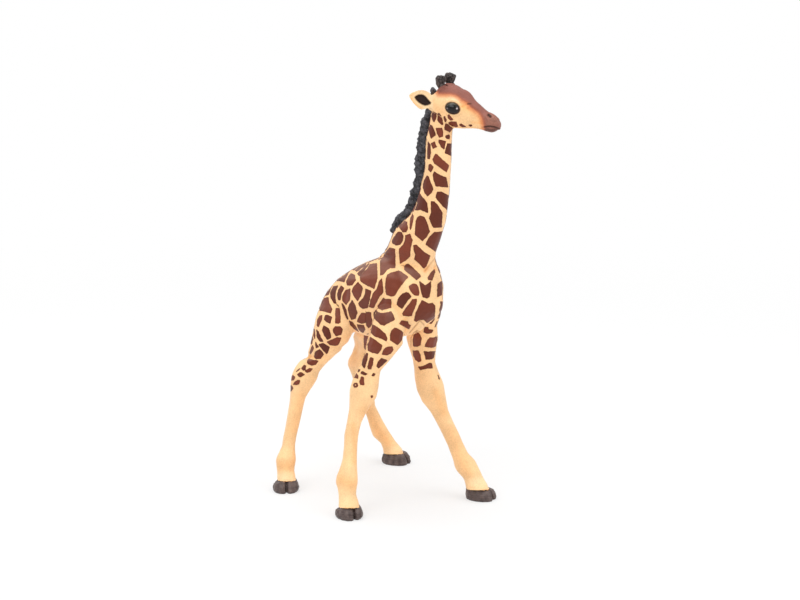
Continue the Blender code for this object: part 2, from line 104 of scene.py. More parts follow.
# Cells of the coat that the photograph doesn't show: their spacing, levels past which they are
# smaller, how they shrink where the spots end, and how far the spots reach on legs, belly and tail
CELL_SPACING = 2.9 * MM
CELL_SPACING_RANGE = (0.85, 1.2)
CELL_CHOICES = 9000
CELL_SEED = 5
TONE_SEED = 11
CELL_NEIGHBOURS = 6
LOW_CELLS = (48 * MM, 0.72)
HIGH_CELLS = (92 * MM, 0.8)
CELL_ROOM = -5 * MM
CELL_TOP = 0.6 * MM
CELL_EDGE = 0.3 * MM
CELL_ROOM_SHARE = 0.5
CELL_SHRINK_ROOM = (5 * MM, -0.5 * MM)
CELL_SHRINK = 1 * MM
CELL_GONE = 9 * MM
ROOM_MOST = 10 * MM
PLAIN_LEG_LEVEL = 34 * MM
LEG_INSIDE = (0.1, 9 * MM)
LEG_INSIDE_LEVEL = (14 * MM, 0.4)
BELLY_ROOM = (0.6, 12 * MM)
TAIL_ROOT_DEPTH = 1.6 * MM

# Where the coat drawn from the photograph passes into the made-up one
SIGHT_OFF_SKIN = 0.05 * MM
SIGHT_AHEAD = 0.35 * MM
SIGHT_FACING = 0.02
SIGHT_ROUNDS = 4
JOIN_WAVER = 0.04
JOIN_SEED = 31
JOIN_WAVER_SIZE = 3 * MM
NECK_LEVELS = (74 * MM, 80 * MM)
NECK_YIELD = 0.1
BACK_SLOPES = (0.15, 0.45)
BACK_YIELD = 0.06
JOIN_FACING = (0.11, 0.18)
JOIN_SHOWN = (0.45, 0.6)

# Soft edges of the face's paint, in pixels from the mask's outline, and of marks
MASK_EDGE = (-1.3, 1.0)
BLUSH_OUTER = (-5.0, -0.3)
BLUSH_INNER = (3.0, 0.4)
EAR_PAINT_EDGE = (-0.7, 0.7)
EYE_PAINT_EDGE = (1.12, 1.0)
MARK_CORE = 0.4
SEAM_CORE = 0.3
PAINT_FACING = (0.0, 0.2)

# Painted shade in creases and hollows: peach laid in where shade falls
HOLLOW_ROUNDS = 24
HOLLOW_PULL = 0.7
HOLLOW_SOFTENING = 6
HOLLOW_DEPTH = 0.35 * MM
HOLLOW_RANGE = (0.5, 0.95)
HOLLOW_SHADE = 0.9

# Outlines of the painted patches, in pixels of the photograph
TORSO_PATCHES = (
    ((336, 280.5), (342, 274.5), (349.5, 271), (346, 277), (344, 281.8), (340, 280.8)),
    ((351, 273.5), (354.5, 275), (355.5, 280), (352, 285), (347.5, 285), (346.5, 282), (348.5, 277)),
    ((353, 269.5), (358, 265), (359, 265.5), (354, 270)),
    ((355.5, 270.5), (362, 265), (368.5, 261.5), (364, 266), (357, 271.5)),
    ((357.5, 273.5), (364, 267.5), (369, 263.5), (364, 270.5), (359.5, 276)),
    ((370, 264.5), (376.5, 263.5), (377.3, 278), (374, 288.5), (366, 284.5), (361, 281.5),
     (360, 277.5), (363, 273), (367.5, 269)),
    ((333.5, 286.5), (337.5, 286), (335.5, 292), (335, 298), (336, 303.5), (334, 303), (331, 298),
     (330.5, 293)),
    ((341, 286), (344, 288), (341.5, 293), (340, 300), (338.5, 299.5), (337.5, 295), (338.5, 290)),
    ((345.5, 290.5), (350, 289), (350, 296), (349.5, 300), (346, 304.5), (342.5, 300.5), (343, 295)),
    ((358, 282.5), (361.5, 286), (362.5, 289), (360.5, 296), (357.5, 300.5), (354.5, 297), (352, 291),
     (353.5, 287)),
    ((365.5, 289), (371, 291), (369.5, 299), (367.5, 307.5), (363, 308.5), (360, 306.5),
     (358.5, 303.5), (363, 298.5), (365.5, 294)),
    ((331.5, 285), (328.5, 294.5), (323, 296), (325, 291), (329, 286)),
    ((324, 298.5), (328, 297.5), (329, 303), (332, 309), (330.3, 313), (325, 311.3), (319.8, 310.5),
     (321, 304)),
    ((352, 300.5), (354.5, 304), (356, 309), (357, 313), (355, 318.5), (351.5, 319.5), (349.5, 315),
     (348, 309), (349.5, 305)),
    ((341.8, 303.6), (344, 305.5), (346, 310), (348, 319.5), (346.5, 318), (344, 311.5)),
    ((336, 308.3), (339.3, 308.3), (340, 313), (340.2, 322), (338.5, 323.5), (335.5, 323),
     (335.7, 314)),
    ((361.5, 313), (365.5, 313.5), (365.6, 322.5), (361.5, 323.5), (357.3, 321.5), (359, 317)),
    ((366.3, 312.3), (370.8, 312.5), (371, 316), (372, 320.5), (371.3, 324.5), (368.8, 328),
     (366.5, 325), (366, 318)),
    ((381.5, 279), (382.5, 285), (383, 292.5), (380, 295.5), (376.5, 301.5), (373.5, 307.8),
     (369.3, 306.8), (371, 300), (373, 294), (377, 289), (379.3, 282)),
    ((389.5, 248), (394.8, 249), (395, 258), (395, 267.8), (390, 267.8), (386.5, 270), (383, 274.5),
     (380.5, 275), (380.5, 266), (380.5, 261), (383, 257.5), (385.5, 253)),
    ((405.5, 235.5), (410, 234.2), (412.2, 240.5), (410.5, 247.2), (409.7, 256.5), (405, 260.5),
     (400.3, 263.3), (399.5, 256), (399.4, 249), (403, 245.3), (405.2, 241)),
    ((398, 232), (401.5, 232.5), (403, 236), (402.5, 241), (400, 244.5), (396, 245), (392.5, 243),
     (392.5, 240), (395.5, 235.5)),
    ((404.5, 221.5), (406.8, 222), (407.5, 229), (406, 231.8), (403, 231.8), (399.5, 227.5),
     (401.5, 224)),
    ((417.5, 217.5), (420, 216), (424.5, 217.5), (427, 223), (429.5, 231.5), (426.5, 236.5),
     (422.5, 240.8), (418.5, 237.5), (415, 234.5), (415.5, 228), (416, 221)),
    ((434.5, 232.5), (440, 232), (442.5, 231.5), (441, 238), (438, 246), (435.5, 251.5), (431, 248),
     (426, 244.5), (427, 241.5), (430, 236.5)),
    ((413.5, 245.5), (416, 245), (420, 248.5), (425, 253), (430, 256), (428.5, 260), (426, 266),
     (424, 268.5), (420, 264), (414.5, 259), (415.5, 254.5), (414, 249.5)),
    ((406, 264.5), (408, 264), (413, 268), (420, 275), (420.5, 276.5), (416.5, 279.8), (411, 275),
     (404.5, 269.5), (404.5, 267)),
    ((391, 273), (398.5, 271), (402, 272.5), (407.8, 277), (404, 281.5), (400, 286.5), (397, 291.5),
     (394, 295.8), (391, 296), (386.5, 294.5), (385.5, 288), (386, 279), (387.5, 275)),
    ((409, 286.5), (412.5, 284), (416.5, 284.5), (418, 287.5), (419, 292), (418.5, 295.5),
     (414.5, 295), (411, 291.5)),
    ((419.5, 281.5), (423, 284), (425, 285.5), (427.5, 284.5), (430.7, 281.8), (431, 286), (430, 292),
     (429.4, 296.7), (426.7, 298), (423, 297), (421.5, 292), (420.5, 287)),
    ((434.5, 269.5), (435, 272), (433.5, 276), (432, 280), (428.5, 279.5), (428, 277.5), (431, 273)),
    ((438, 284), (441.5, 281.5), (442.2, 287), (442, 294.5), (437.5, 297), (437.5, 290)),
    ((402.5, 294), (406.5, 292.5), (408.5, 293), (411, 296.5), (407, 301), (402, 308.5), (399, 306.5),
     (396.8, 304.5), (398, 299.5), (400.5, 296)),
    ((412.5, 299.5), (416.5, 299.3), (416, 304), (413, 311.5), (411.5, 315.5), (408, 316),
     (403.5, 315.5), (402.5, 313.5), (405.5, 309), (409.5, 304)),
    ((422, 300.5), (425, 302), (428.5, 304), (432.5, 303), (434.8, 306), (434.8, 312), (434, 320),
     (431, 323.5), (427, 322.5), (424, 319.5), (420, 319.5), (416.5, 321.5), (414.3, 320.5),
     (416, 313), (419.5, 305)),
    ((440.5, 301.5), (443.5, 302), (443, 309), (440.5, 313.5), (439.5, 310), (441, 305)),
    ((383.5, 298), (385, 299.3), (391, 299.3), (391, 307.5), (385, 309), (382, 310), (378.5, 308),
     (378, 306), (380.5, 302.5)),
    ((374, 312.5), (376, 310.3), (378, 312.5), (382, 313.5), (386, 313), (391, 311.8), (393, 315),
     (394.8, 319.5), (391, 321.5), (387, 323.5), (384, 325.3), (381, 324.5), (375, 319), (374, 316)),
    ((435.8, 259.5), (438, 264), (439.8, 273), (438.8, 271), (436, 262)),
    ((439.5, 313), (441, 313), (438, 318.5)),
    ((437, 321.5), (435.8, 326), (435, 327)),
)
NECK_PATCHES = (
    ((432.2, 113.8), (433.8, 112.2), (435.6, 113.8), (436.3, 116.3), (435.3, 119.4), (434, 121.9),
     (432.8, 120), (431.9, 116.9)),
    ((437.8, 113.8), (439, 113.4), (440.6, 115.6), (442.2, 120), (442.8, 124.4), (441.9, 124.7),
     (440, 123.1), (437.8, 120.6), (438.1, 117.5)),
    ((443.8, 117.2), (444.7, 116.6), (445.6, 118.8), (446.6, 120), (445.6, 121.9), (444.7, 120.9)),
    ((448.1, 115.3), (449, 114.7), (450, 116.3), (452.5, 118.8), (452.8, 119.7), (450.6, 120),
     (448.1, 118.1)),
    ((449, 122.5), (450.6, 121.9), (456.3, 121.9), (457.5, 126.3), (455.6, 126.9), (451.9, 125.6),
     (449, 123.8)),
    ((444.7, 128.1), (445.6, 123.8), (447.5, 124.4), (452.5, 128.4), (449.7, 131.9), (447.5, 130.6),
     (445, 129.4)),
    ((446, 135.6), (448.8, 134.7), (449.7, 136.3), (449, 138.8), (446.9, 138.4), (445.6, 136.9)),
    ((430, 125), (431.9, 125.6), (435.6, 135), (431.3, 138.1), (429.4, 132.5), (429, 127.5)),
    ((436.3, 128.4), (441.9, 128.1), (442.8, 132.5), (442.5, 136.3), (439.4, 137.2), (437.5, 133.8)),
    ((439, 140), (445.5, 141.5), (444, 148.8), (441.5, 147), (438.8, 142)),
    ((434.5, 141.8), (435.3, 145), (436.8, 146.8), (433, 148.3), (431.2, 143.5)),
    ((428.2, 142), (430.2, 145), (430.7, 152), (429.5, 158.8), (427.7, 158.5), (427.7, 150)),
    ((447.5, 144), (451.5, 144), (451, 149), (450.8, 155.3), (445.3, 153), (446.3, 148)),
    ((435.5, 154), (437, 154.5), (443, 160.5), (448.8, 165.5), (446.5, 172), (442.5, 169),
     (434.8, 163.5), (432.8, 159.5)),
    ((429.3, 164.5), (431, 164.5), (433, 167), (431, 172), (428.3, 169.5), (428.8, 166)),
    ((434.3, 172), (440, 175.5), (446, 177.5), (448, 187), (443, 186.7), (436, 186), (434, 180),
     (433.3, 174.5)),
    ((427, 176), (428.5, 177), (430.5, 182.5), (433, 189), (431, 193), (427.5, 195.8), (425, 193),
     (423, 187), (424, 181)),
    ((437.3, 192), (441, 192), (449, 196), (448.5, 203), (447.8, 210), (443.5, 206.5), (440, 202.5),
     (436, 197.5)),
    ((431.3, 201.5), (434.3, 201.7), (438.5, 206.5), (442, 213), (441.8, 219), (441.5, 227),
     (437, 227.5), (433.5, 227.5), (430.5, 221), (429.3, 218), (431.3, 213)),
    ((419.5, 193.5), (422, 197), (427, 203), (427.8, 212.5), (424, 211), (420.5, 209.5),
     (415.5, 210), (417.5, 203)),
    ((412.3, 214), (413.3, 216), (412.5, 222), (410.5, 229.5), (410, 228), (410.5, 219)),
)
CHEEK_PATCHES = (
    ((459.7, 124.4), (461.3, 124), (465.6, 126.6), (463, 126.9), (460, 125.6)),
    ((468.8, 125), (471.3, 125), (471.9, 125.6), (470.6, 126.3)),
)
THIGH_PATCHES = (
    ((319.5, 316), (321.8, 315.5), (321.5, 320), (318.5, 326.5), (317, 325.5), (317.5, 320)),
    ((325.3, 315.5), (327, 315), (331.8, 317), (330.5, 321), (330, 323.5), (326.5, 321.5),
     (324.2, 319.5)),
    ((323.8, 326), (328.5, 328.5), (330, 333), (330.8, 337.5), (327.5, 339.5), (324.5, 335.5),
     (322.3, 330)),
    ((335.5, 326.5), (340.5, 327), (342.5, 329.5), (341, 334.5), (335.8, 335.8), (333.3, 331.5),
     (333.3, 329)),
    ((334, 339), (337, 337.8), (340.8, 338), (339.5, 342), (337.5, 345), (334.5, 345.5),
     (330, 344.5), (327, 342)),
    ((316.8, 330), (318.5, 332), (320.5, 337), (323, 341.5), (320, 341.5), (317, 336.5)),
    ((314, 329), (315, 333), (314.8, 338.5), (313.8, 336)),
    ((311.5, 334), (312.8, 339), (311.5, 344), (310.8, 342)),
    ((315.5, 342), (317, 345), (318.5, 347), (316, 348)),
    ((319, 344.5), (323, 343.2), (329.5, 347.5), (327.5, 352.5), (326.5, 353.5), (323, 350)),
    ((319.3, 349.5), (321.5, 351), (323.5, 354.5), (320.5, 358.5), (315.5, 358.5), (314.3, 357),
     (315.5, 352)),
    ((312.5, 345.5), (313.8, 348.5), (310.5, 354), (310, 352)),
    ((308.8, 359), (312, 360), (316, 360.5), (318, 361), (315.5, 364.5), (311.5, 365.3),
     (308, 363.5), (307.3, 361.5)),
    ((309.5, 368.3), (312.5, 368.8), (310, 371.5), (307, 372.5), (305.3, 371)),
    ((304, 365), (306, 366), (305, 369.5), (303.3, 370.5), (301.8, 368.5)),
    ((299, 369), (300, 368.5), (298.5, 370.5), (296.5, 371.5)),
    ((300, 372.5), (302.3, 373), (304.3, 374.5), (301.5, 376.5), (299.5, 377), (297.5, 374.5)),
    ((292.8, 375.5), (295, 377), (293.5, 380), (291.5, 380.3), (292, 377)),
    ((298, 380.3), (299.8, 380.3), (299, 384), (297, 384.5), (293.5, 384.5), (295, 382)),
    ((290.3, 385), (292, 386.5), (293, 388.5), (291.5, 390.5), (290.3, 391)),
)
FORELEG_PATCHES = (
    ((349.5, 321), (352.5, 322.5), (355.5, 326.5), (358.5, 331.5), (354, 328.5), (350.5, 325)),
    ((357, 324.5), (363.5, 325.5), (364.8, 329.5), (363, 332.5), (361, 331.8), (358.5, 328.5)),
    ((368.5, 333.5), (366.5, 341), (365.3, 349.5), (364.5, 348), (364, 341), (364.3, 336)),
    ((365, 353.5), (367.8, 353.5), (367, 360), (365, 366), (364.3, 368), (362, 365), (363, 359)),
    ((358.5, 369.8), (359.8, 369.5), (359.5, 371), (358, 372)),
    ((356.5, 373.5), (358, 376), (358, 378.5), (354.5, 377.5), (355.5, 375.5)),
    ((361.5, 372), (363, 371.5), (367, 374), (365.5, 375), (361, 373.5)),
    ((361.5, 377), (363.8, 377.5), (363.8, 382), (364, 385), (360.5, 384.3), (359.5, 381.5)),
    ((353.3, 385), (354.5, 383), (356.8, 383.2), (357.8, 385.5), (356.5, 387.3), (354.3, 387)),
    ((373, 325), (374.5, 325.5), (380, 329.5), (385, 334), (386.8, 338), (386.5, 341), (382, 338.5),
     (374.5, 336), (371, 332.5), (370.8, 330)),
    ((370.5, 337.5), (374, 339.5), (382, 345.5), (380.5, 350.5), (377.5, 353.5), (372.5, 352.5),
     (368, 350.5), (368, 345), (369.5, 340.5)),
    ((394.5, 328), (396.5, 328.3), (402, 331.5), (404.3, 335), (401, 340.5), (397.5, 345),
     (394.5, 342.5), (390.5, 340), (390.5, 335), (391.8, 330.5)),
    ((401.5, 320.8), (407.5, 321.8), (408.8, 324.5), (410.5, 325.5), (409, 328.8), (404.5, 326.5),
     (399.8, 323.8)),
    ((385.5, 348), (388.5, 347), (392, 347), (393.2, 349.5), (390.5, 353.5), (387, 355),
     (382, 354.5), (383, 351.5)),
    ((381.5, 358.3), (387, 360.5), (383.5, 364), (378.5, 368), (377, 366.5), (378, 362)),
    ((370.5, 357.5), (373.2, 358.5), (372.5, 364), (371, 369), (368.3, 369), (367.8, 366.5),
     (369.3, 361)),
    ((373.5, 373.5), (375, 374), (374, 376), (372, 375.5)),
    ((424.5, 327.2), (428, 327.3), (428.5, 329.5), (433, 330), (431.5, 332.8), (427, 333.5),
     (424, 332)),
    ((416.5, 332), (419, 333.5), (421.5, 338.5), (420, 345), (417, 346.5), (413.5, 346),
     (413, 340.5), (414, 335.5)),
    ((430, 337.8), (434, 337.8), (436.8, 336.8), (437, 343), (435, 346.5), (431.5, 347.5),
     (425, 346.5), (425.5, 344.5), (428, 340)),
    ((413, 351), (418, 350.8), (420, 354.5), (421, 361), (418.5, 362), (415.5, 359.5),
     (413.5, 355.5)),
    ((424, 351.3), (428, 352), (434.8, 351.5), (433.5, 357.5), (431.5, 358.8), (426, 359.5),
     (425.3, 356)),
    ((429.5, 363), (431.3, 363.3), (432.5, 368), (427.5, 368.3), (420.5, 369.8), (418.5, 367),
     (423, 366.5)),
    ((438, 375), (439.7, 379), (438.8, 378.5)),
    ((371, 396), (372.3, 395.7), (372.7, 397), (371.6, 397.7)),
)

# The brown mask of the face, a little paler round the middle of the muzzle
MASK_OUTLINE = (
    (434, 84), (437, 91), (438.8, 93.8), (450, 94), (455, 95), (458.8, 97), (461.3, 99.4),
    (465, 101.3), (468, 103), (470, 106.3), (475, 110), (478.8, 112.5), (481.3, 116.3),
    (482.8, 120), (483.8, 125), (484.4, 134), (510, 136), (510, 60), (434, 60),
)
MUZZLE_MIDDLE = (492, 122)
MUZZLE_REACH = 9.0
MUZZLE_PALENESS = 0.06
INNER_EAR_OUTLINE = (
    (414.3, 97.3), (415.8, 95.6), (418.5, 94.4), (421.5, 94.2), (424, 94.9), (426.3, 96.8),
    (428.3, 99.3), (431.3, 102.6), (430.6, 104.2), (428, 105.3), (425, 105.8), (422, 104.8),
    (418.8, 102.8), (416, 100.2),
)

# The eye's opening, its crescent of painted reflection, and its glints, which are painted highlights:
# middle, radius and strength
EYE_MIDDLE = (452.6, 108.2)
EYE_OPENING = (7.5, 5.9)
EYE_TILT = 20
EYE_GLINTS = (((456.9, 108.6), 0.9, 0.8), ((447.2, 108.4), 0.7, 0.3))
EYE_REFLECTION_CRESCENT = ((446.8, 105.6), (449, 103.9), (452.5, 103.3), (456, 104.2))

# Edges of the figure in the photograph, from the top down; a leg's left edge and then its right one
LEG_OUTLINES = (
    ("leg_front_right",
     ((366, 351), (361, 363), (353, 378), (349.6, 390), (349.2, 407.5), (346.7, 421.7), (344.2, 434),
      (343.8, 446.7), (342.5, 459), (340, 467.5), (336.7, 475.8), (336.3, 480.8), (337.9, 487.5),
      (338.8, 496.7), (338.8, 508)),
     ((403, 344), (391, 359), (380.5, 371), (379, 380), (377.5, 388), (375.4, 398), (370, 405.8),
      (365, 415), (361.3, 423), (358.8, 433), (357.5, 443), (357, 455), (357, 465), (357.5, 474),
      (357.9, 481.7), (356.8, 488), (356.5, 495), (358.3, 500.8), (359.6, 505.8))),
    ("leg_hind_right",
     ((308, 356), (306.5, 358), (301, 361), (297, 366.5), (294, 371), (291.5, 376), (290.5, 384),
      (290.2, 393), (289.5, 402), (287.5, 414), (285.5, 426), (283, 438), (282, 446), (279, 452),
      (277, 458), (276.5, 466), (277.2, 472), (277.5, 481)),
     ((340, 350), (332, 358), (324, 366), (319, 372), (317, 379), (313, 386), (309, 392),
      (305.5, 398), (303.5, 406), (301.5, 415), (299, 426), (296.5, 436), (295, 445), (295.2, 452),
      (296, 459), (295.2, 465), (294.5, 471), (296, 479))),
    ("leg_front_left",
     ((405.8, 338), (408.3, 346.7), (412.5, 358.3), (414.2, 368.3), (414.7, 378.3), (416.7, 390),
      (421.7, 401.7), (430, 411.7), (435.8, 421.7), (441.7, 433.3), (447.5, 445), (452.5, 458.3),
      (457.5, 471.7), (463.3, 478.3), (466.7, 488.3)),
     ((437.5, 338.3), (435.8, 351.7), (435, 361.7), (438.3, 373.3), (443.3, 385), (445.8, 396.7),
      (448.3, 410), (453.3, 421.7), (458.3, 431.7), (463.3, 443.3), (468.3, 453.3), (475, 460),
      (480, 470), (485, 480), (490, 488.3))),
    ("leg_hind_left",
     ((353, 337), (355, 345), (354, 353), (348.3, 360.5), (347.8, 365), (351, 373), (354.5, 385),
      (360, 400), (366.7, 416.7), (370, 428.3), (374.2, 436.7), (380.8, 443.3), (384.2, 453.3)),
     ((375, 405), (381.7, 418.3), (388.3, 430), (395, 440), (403.3, 450))),
)
BACK_OUTLINE = (
    (432, 108), (430.6, 116), (429.7, 121), (428.8, 127.5), (426.9, 135), (426, 140), (425.5, 150),
    (425, 160), (424.5, 168), (423.5, 175), (421.5, 182), (420.5, 188), (418.5, 195), (416, 203),
    (413, 209), (409.5, 215), (404, 220), (400, 224), (396, 228), (392.5, 233), (390, 240),
    (387.5, 246.5), (383, 252), (378, 257.5), (365, 262), (350, 270), (337, 279), (327, 291),
    (322, 300), (316, 317), (312, 336), (308, 352),
)
MANE_OUTLINE = (
    (431, 87), (431, 95), (427.5, 103), (425.6, 110.6), (423.8, 116.9), (421, 123), (419.9, 128),
    (418.8, 136), (417.5, 146), (416, 155), (415, 168), (415, 175), (414, 183), (412.5, 188),
    (409.7, 194), (408, 199), (405.8, 206), (402.5, 211), (399.5, 213.8), (396.5, 217), (393, 220),
    (391, 226), (391.5, 233),
)
CHEST_OUTLINE = (
    (435.5, 259), (440, 270), (442, 279), (443.2, 292), (443, 306), (440, 317), (437, 325), (438, 337),
)
EAR_OUTLINE = (
    (416, 90.5), (413, 92), (410.3, 94.5), (409.8, 97), (411, 100), (414, 103.3), (419, 106.3),
    (424, 108.3), (430, 109.5),
)
THROAT_OUTLINE = (
    (452, 139), (451.5, 158), (449.5, 193), (446, 221), (440, 241), (436, 252),
)

# Fine forms of the face: a line or middle in pixels, its width there, and its rise in millimetres
FACE_LINES = (
    (((444.5, 104.5), (447.5, 100.8), (453, 99.8), (459, 102.5)), 1.8, 0.28),
    (((446, 113), (450, 116), (456, 117)), 1.6, 0.16),
    (((461.5, 107.5), (465, 106), (469, 103.8)), 1.2, -0.2),
    (((464, 101.8), (470, 105.8), (476, 111), (481.5, 117), (484, 124)), 1.3, -0.12),
    (((458, 99), (466, 101), (473, 106), (480, 110)), 1.8, 0.14),
    (((488.8, 115), (490.4, 116.6)), 1.5, -0.55),
    (((490.6, 112.8), (494, 116.4), (495, 120.5)), 1.7, 0.26),
    (((485.6, 116), (487.8, 119.4), (490, 121.6)), 1.5, 0.14),
    (((484.4, 127), (490, 126.3), (495, 127.2), (499, 128.6)), 0.8, -0.32),
    (((486, 129.6), (492, 130.6), (498, 130)), 1.8, 0.2),
    (((487, 124), (493, 124), (499, 124.6)), 1.8, 0.16),
    (((446, 113.5), (449.5, 120), (451, 127)), 1.6, -0.16),
)
FACE_FORMS = (
    ((461, 117.5), 6.5, 0.3),
    ((478.5, 121.5), 4.0, -0.25),
    ((455, 123.5), 4.0, 0.22),
    ((467, 110), 3.5, -0.15),
    ((496, 121), 4.0, 0.15),
)
# Where profiles are moved: a middle in pixels, its reach, and the move right and down
HEAD_SHIFTS = (
    ((432, 87), 6.5, (0, 6)),
    ((441, 88.5), 3.5, (0, -1.8)),
    ((461, 86), 4.0, (-0.5, 1.8)),
    ((470, 94), 6.0, (0.5, -1.8)),
    ((481, 104), 5.0, (0, -0.9)),
    ((499, 118), 4.0, (-2.4, 0.3)),
    ((500, 126), 3.5, (0.9, 3)),
    ((498.5, 130.5), 3.2, (-2.2, -0.4)),
)
EAR_SHIFTS = (
    ((419, 107), 5.5, (-0.6, 1.8)),
    ((411, 95), 3.5, (-0.7, 0)),
)
FAR_EAR_SHIFT = (1.0, 9.5)
MANE_SHIFTS = (((393, 226), 6.0, (-0.5, 5.5)),)
HOOF_SHIFTS = (
    ((338, 504), 4.0, (0.4, 4.5)),
    ((361, 518), 4.0, (-1.0, -0.5)),
    ((275.5, 478.5), 4.0, (0.8, 3.6)),
    ((298, 489), 4.0, (0.8, -1.2)),
    ((383.5, 452.5), 4.0, (0.8, 2.8)),
    ((490, 486.5), 5.0, (1.6, 2.0)),
)
# How far each horn is moved right and down, in pixels
HORN_SHIFTS = {"ossicone_right": (-1.2, 0.2), "ossicone_left": (0.6, 0.3)}

# Forms of the legs: rise, way round from the front, its spread, level and reach in millimetres
FORELEG_FORMS = (
    (0.35, 0, 55, 33, 3.2),
    (0.20, 75, 35, 34, 3.0),
    (-0.16, 125, 16, 21, 8.0),
    (0.22, 180, 22, 20, 9.0),
    (0.30, 150, 22, 8.4, 1.2),
    (-0.14, 0, 60, 6.2, 1.2),
)
HINDLEG_FORMS = (
    (0.45, 180, 35, 34.5, 2.4),
    (-0.24, 135, 20, 38, 4.0),
    (0.18, 60, 40, 33, 3.0),
    (-0.16, 125, 16, 21, 8.0),
    (0.22, 180, 22, 20, 9.0),
    (0.30, 150, 22, 8.0, 1.2),
    (-0.14, 0, 60, 6.0, 1.2),
)
# Creases and ridges of the body: a line in pixels, its width and its rise in millimetres
BODY_LINES = (
    (((425, 271), (430, 264.5), (436, 257)), 1.6, -0.3),
    (((396, 258), (399, 272), (404, 284), (411, 293)), 4.5, 0.35),
    (((381, 282), (384, 296), (381, 308)), 3.0, -0.25),
    (((411, 300), (409, 312), (405, 322)), 2.2, -0.2),
    (((409.5, 333), (420, 320.5), (424, 325)), 0.8, -0.25),
    (((411, 347), (411, 338), (414, 333), (416.5, 330.5)), 0.7, -0.15),
    (((365.8, 311), (365.9, 323.5)), 0.6, -0.12),
    (((346, 290), (344, 302), (349, 316), (352, 324)), 2.6, -0.28),
    (((330, 300), (332, 318), (326, 338), (318, 352)), 6.0, 0.3),
    (((368, 330), (363, 346), (358, 366)), 2.6, 0.2),
)
# Dark paint, and painted shade below the nostril and in creases by the eye and along the nose: a line in
# pixels, its half width and its strength
MARK_LINES = (
    (((488.8, 115), (490.3, 116.3)), 1.9, 0.85),
    # Painted shadow below the nostril, in this line and the next
    (((490.8, 117.2), (492.5, 119.2)), 1.5, 0.22),
    (((491, 119.5), (494, 121)), 2.4, 0.2),
    (((484.4, 127), (490, 126.3), (495, 127.2), (499, 128.6)), 1.2, 0.7),
    (((486, 129.8), (491, 130.6), (496.5, 129.8)), 2.4, 0.55),
    # Painted shade in the tear crease in front of the eye
    (((467.8, 103.9), (470.8, 103.7)), 1.2, 0.6),
    # Painted shade in the crease along the side of the nose
    (((478, 105), (484, 109.5), (488, 112.5)), 1.6, 0.12),
)
# Peach laid along lines, partly airbrushed peach and partly painted shade on the shaded sides of legs,
# joints and face: a line in pixels, its half width and its strength
PEACH_AND_SHADE_LINES = (
    (((300, 396), (294, 430)), 6.0, 0.3),
    (((353.5, 425), (354.5, 445), (354, 462)), 3.0, 0.4),
    (((341, 480), (352, 484)), 6.5, 0.4),
    (((299, 440), (296.5, 462)), 4.0, 0.5),
    (((281, 466), (290, 467)), 7.0, 0.45),
    (((366, 412), (378, 432), (386, 440)), 7.0, 0.42),
    (((452, 432), (460, 452), (468, 474)), 6.0, 0.3),
    (((436, 392), (444, 412)), 5.0, 0.45),
    (((344, 352), (330, 366), (318, 384)), 6.0, 0.15),
    (((352, 340), (352, 364)), 6.0, 0.45),
    (((464, 106), (469, 108)), 4.5, 0.8),
    (((441, 97), (446, 97)), 3.0, 0.3),
    (((436, 109), (441, 112)), 3.5, 0.3),
    (((474, 113), (481, 121)), 3.0, 0.5),
    (((455, 127.5), (470, 128), (484, 128.5)), 1.5, 0.3),
    (((472, 122.3), (482, 123.5)), 1.6, 0.5),
    (((412.8, 92.8), (411, 95.5), (411.5, 98.5)), 1.5, 0.4),
    (((411.5, 99), (414, 103), (418, 106), (421.5, 107.5)), 0.8, 0.6),
)
# Paler cream, in the same way; partly paler paint and partly painted highlight, as on the brow over the eye
PALE_AND_HIGHLIGHT_LINES = (
    (((443, 99), (451, 97.3), (458, 99.5)), 2.4, 0.8),
    (((340, 498), (352, 500)), 9.0, 0.15),
    (((278, 476), (290, 476)), 6.0, 0.6),
    (((336, 360), (322, 378)), 6.0, 0.25),
    (((392, 450), (400, 448)), 4.0, 0.4),
    (((470, 482), (486, 482)), 6.0, 0.6),
    (((432, 95), (440, 97)), 3.0, 0.5),
    (((425, 110), (433, 110)), 3.0, 0.4),
)
# Paler cream over the whole ear, partly painted highlight of its lit rim
EAR_PALENESS = 0.7

# The spot with a cream middle, in pixels
RING_SPOT = (355.6, 385.1)
RING_SPOT_HOLE = 1.2
RING_SPOT_REACH = 2

# Painted shade along seams and mould lines and in the chest crease, in the same way as dark paint
SEAM_LINES = (
    (((409.5, 333), (420, 320.5), (424, 325)), 0.9, 0.9),
    (((411, 347), (411, 338), (414, 332.5), (417, 330.5), (420, 332)), 0.8, 1.0),
    (((365.8, 311), (365.9, 323.5)), 0.6, 0.8),
    (((425, 271), (430, 264.5), (436, 257)), 1.2, 0.5),
)

# Fitting of outlines: rows over which a fit fades out, rounds of softening, and weights of rows
OUTLINE_FADE = 8
OUTLINE_ROUNDS = 5
ROW_WEIGHTS = (0.1, 0.2, 0.4, 0.2, 0.1)

# Rounding of the creases where limbs, neck and torso meet
CREASE_STEPS = 22
CREASE_FALL = 0.93
CREASE_ROUNDS = 90
CREASE_EDGE = (0.1, 0.75)
CREASE_KEEP = 0.25
EAR_SOFTNESS = 0.15
TAIL_SOFTNESS = 0.5

# Fine sculpting: how far forms reach and fade
SCULPT_FACING = (0, 0.3)
FACE_FACING = (0.0, 0.25)
LID_HEIGHT = 0.3 * MM
LID_RING = (1.17, 0.16)
EYE_HOLLOW = 0.75 * MM
EYE_HOLLOW_EDGE = (1.04, 0.86)
EAR_HOLLOW = 0.5 * MM
EAR_HOLLOW_EDGE = (-0.3, 3.0)
MIDLINE_FADE = -3 * MM
LEG_SLICE = 0.5 * MM
LEG_SINK = 0.5 * MM
LEG_SINK_LEVELS = (4.3 * MM, 3.6 * MM)

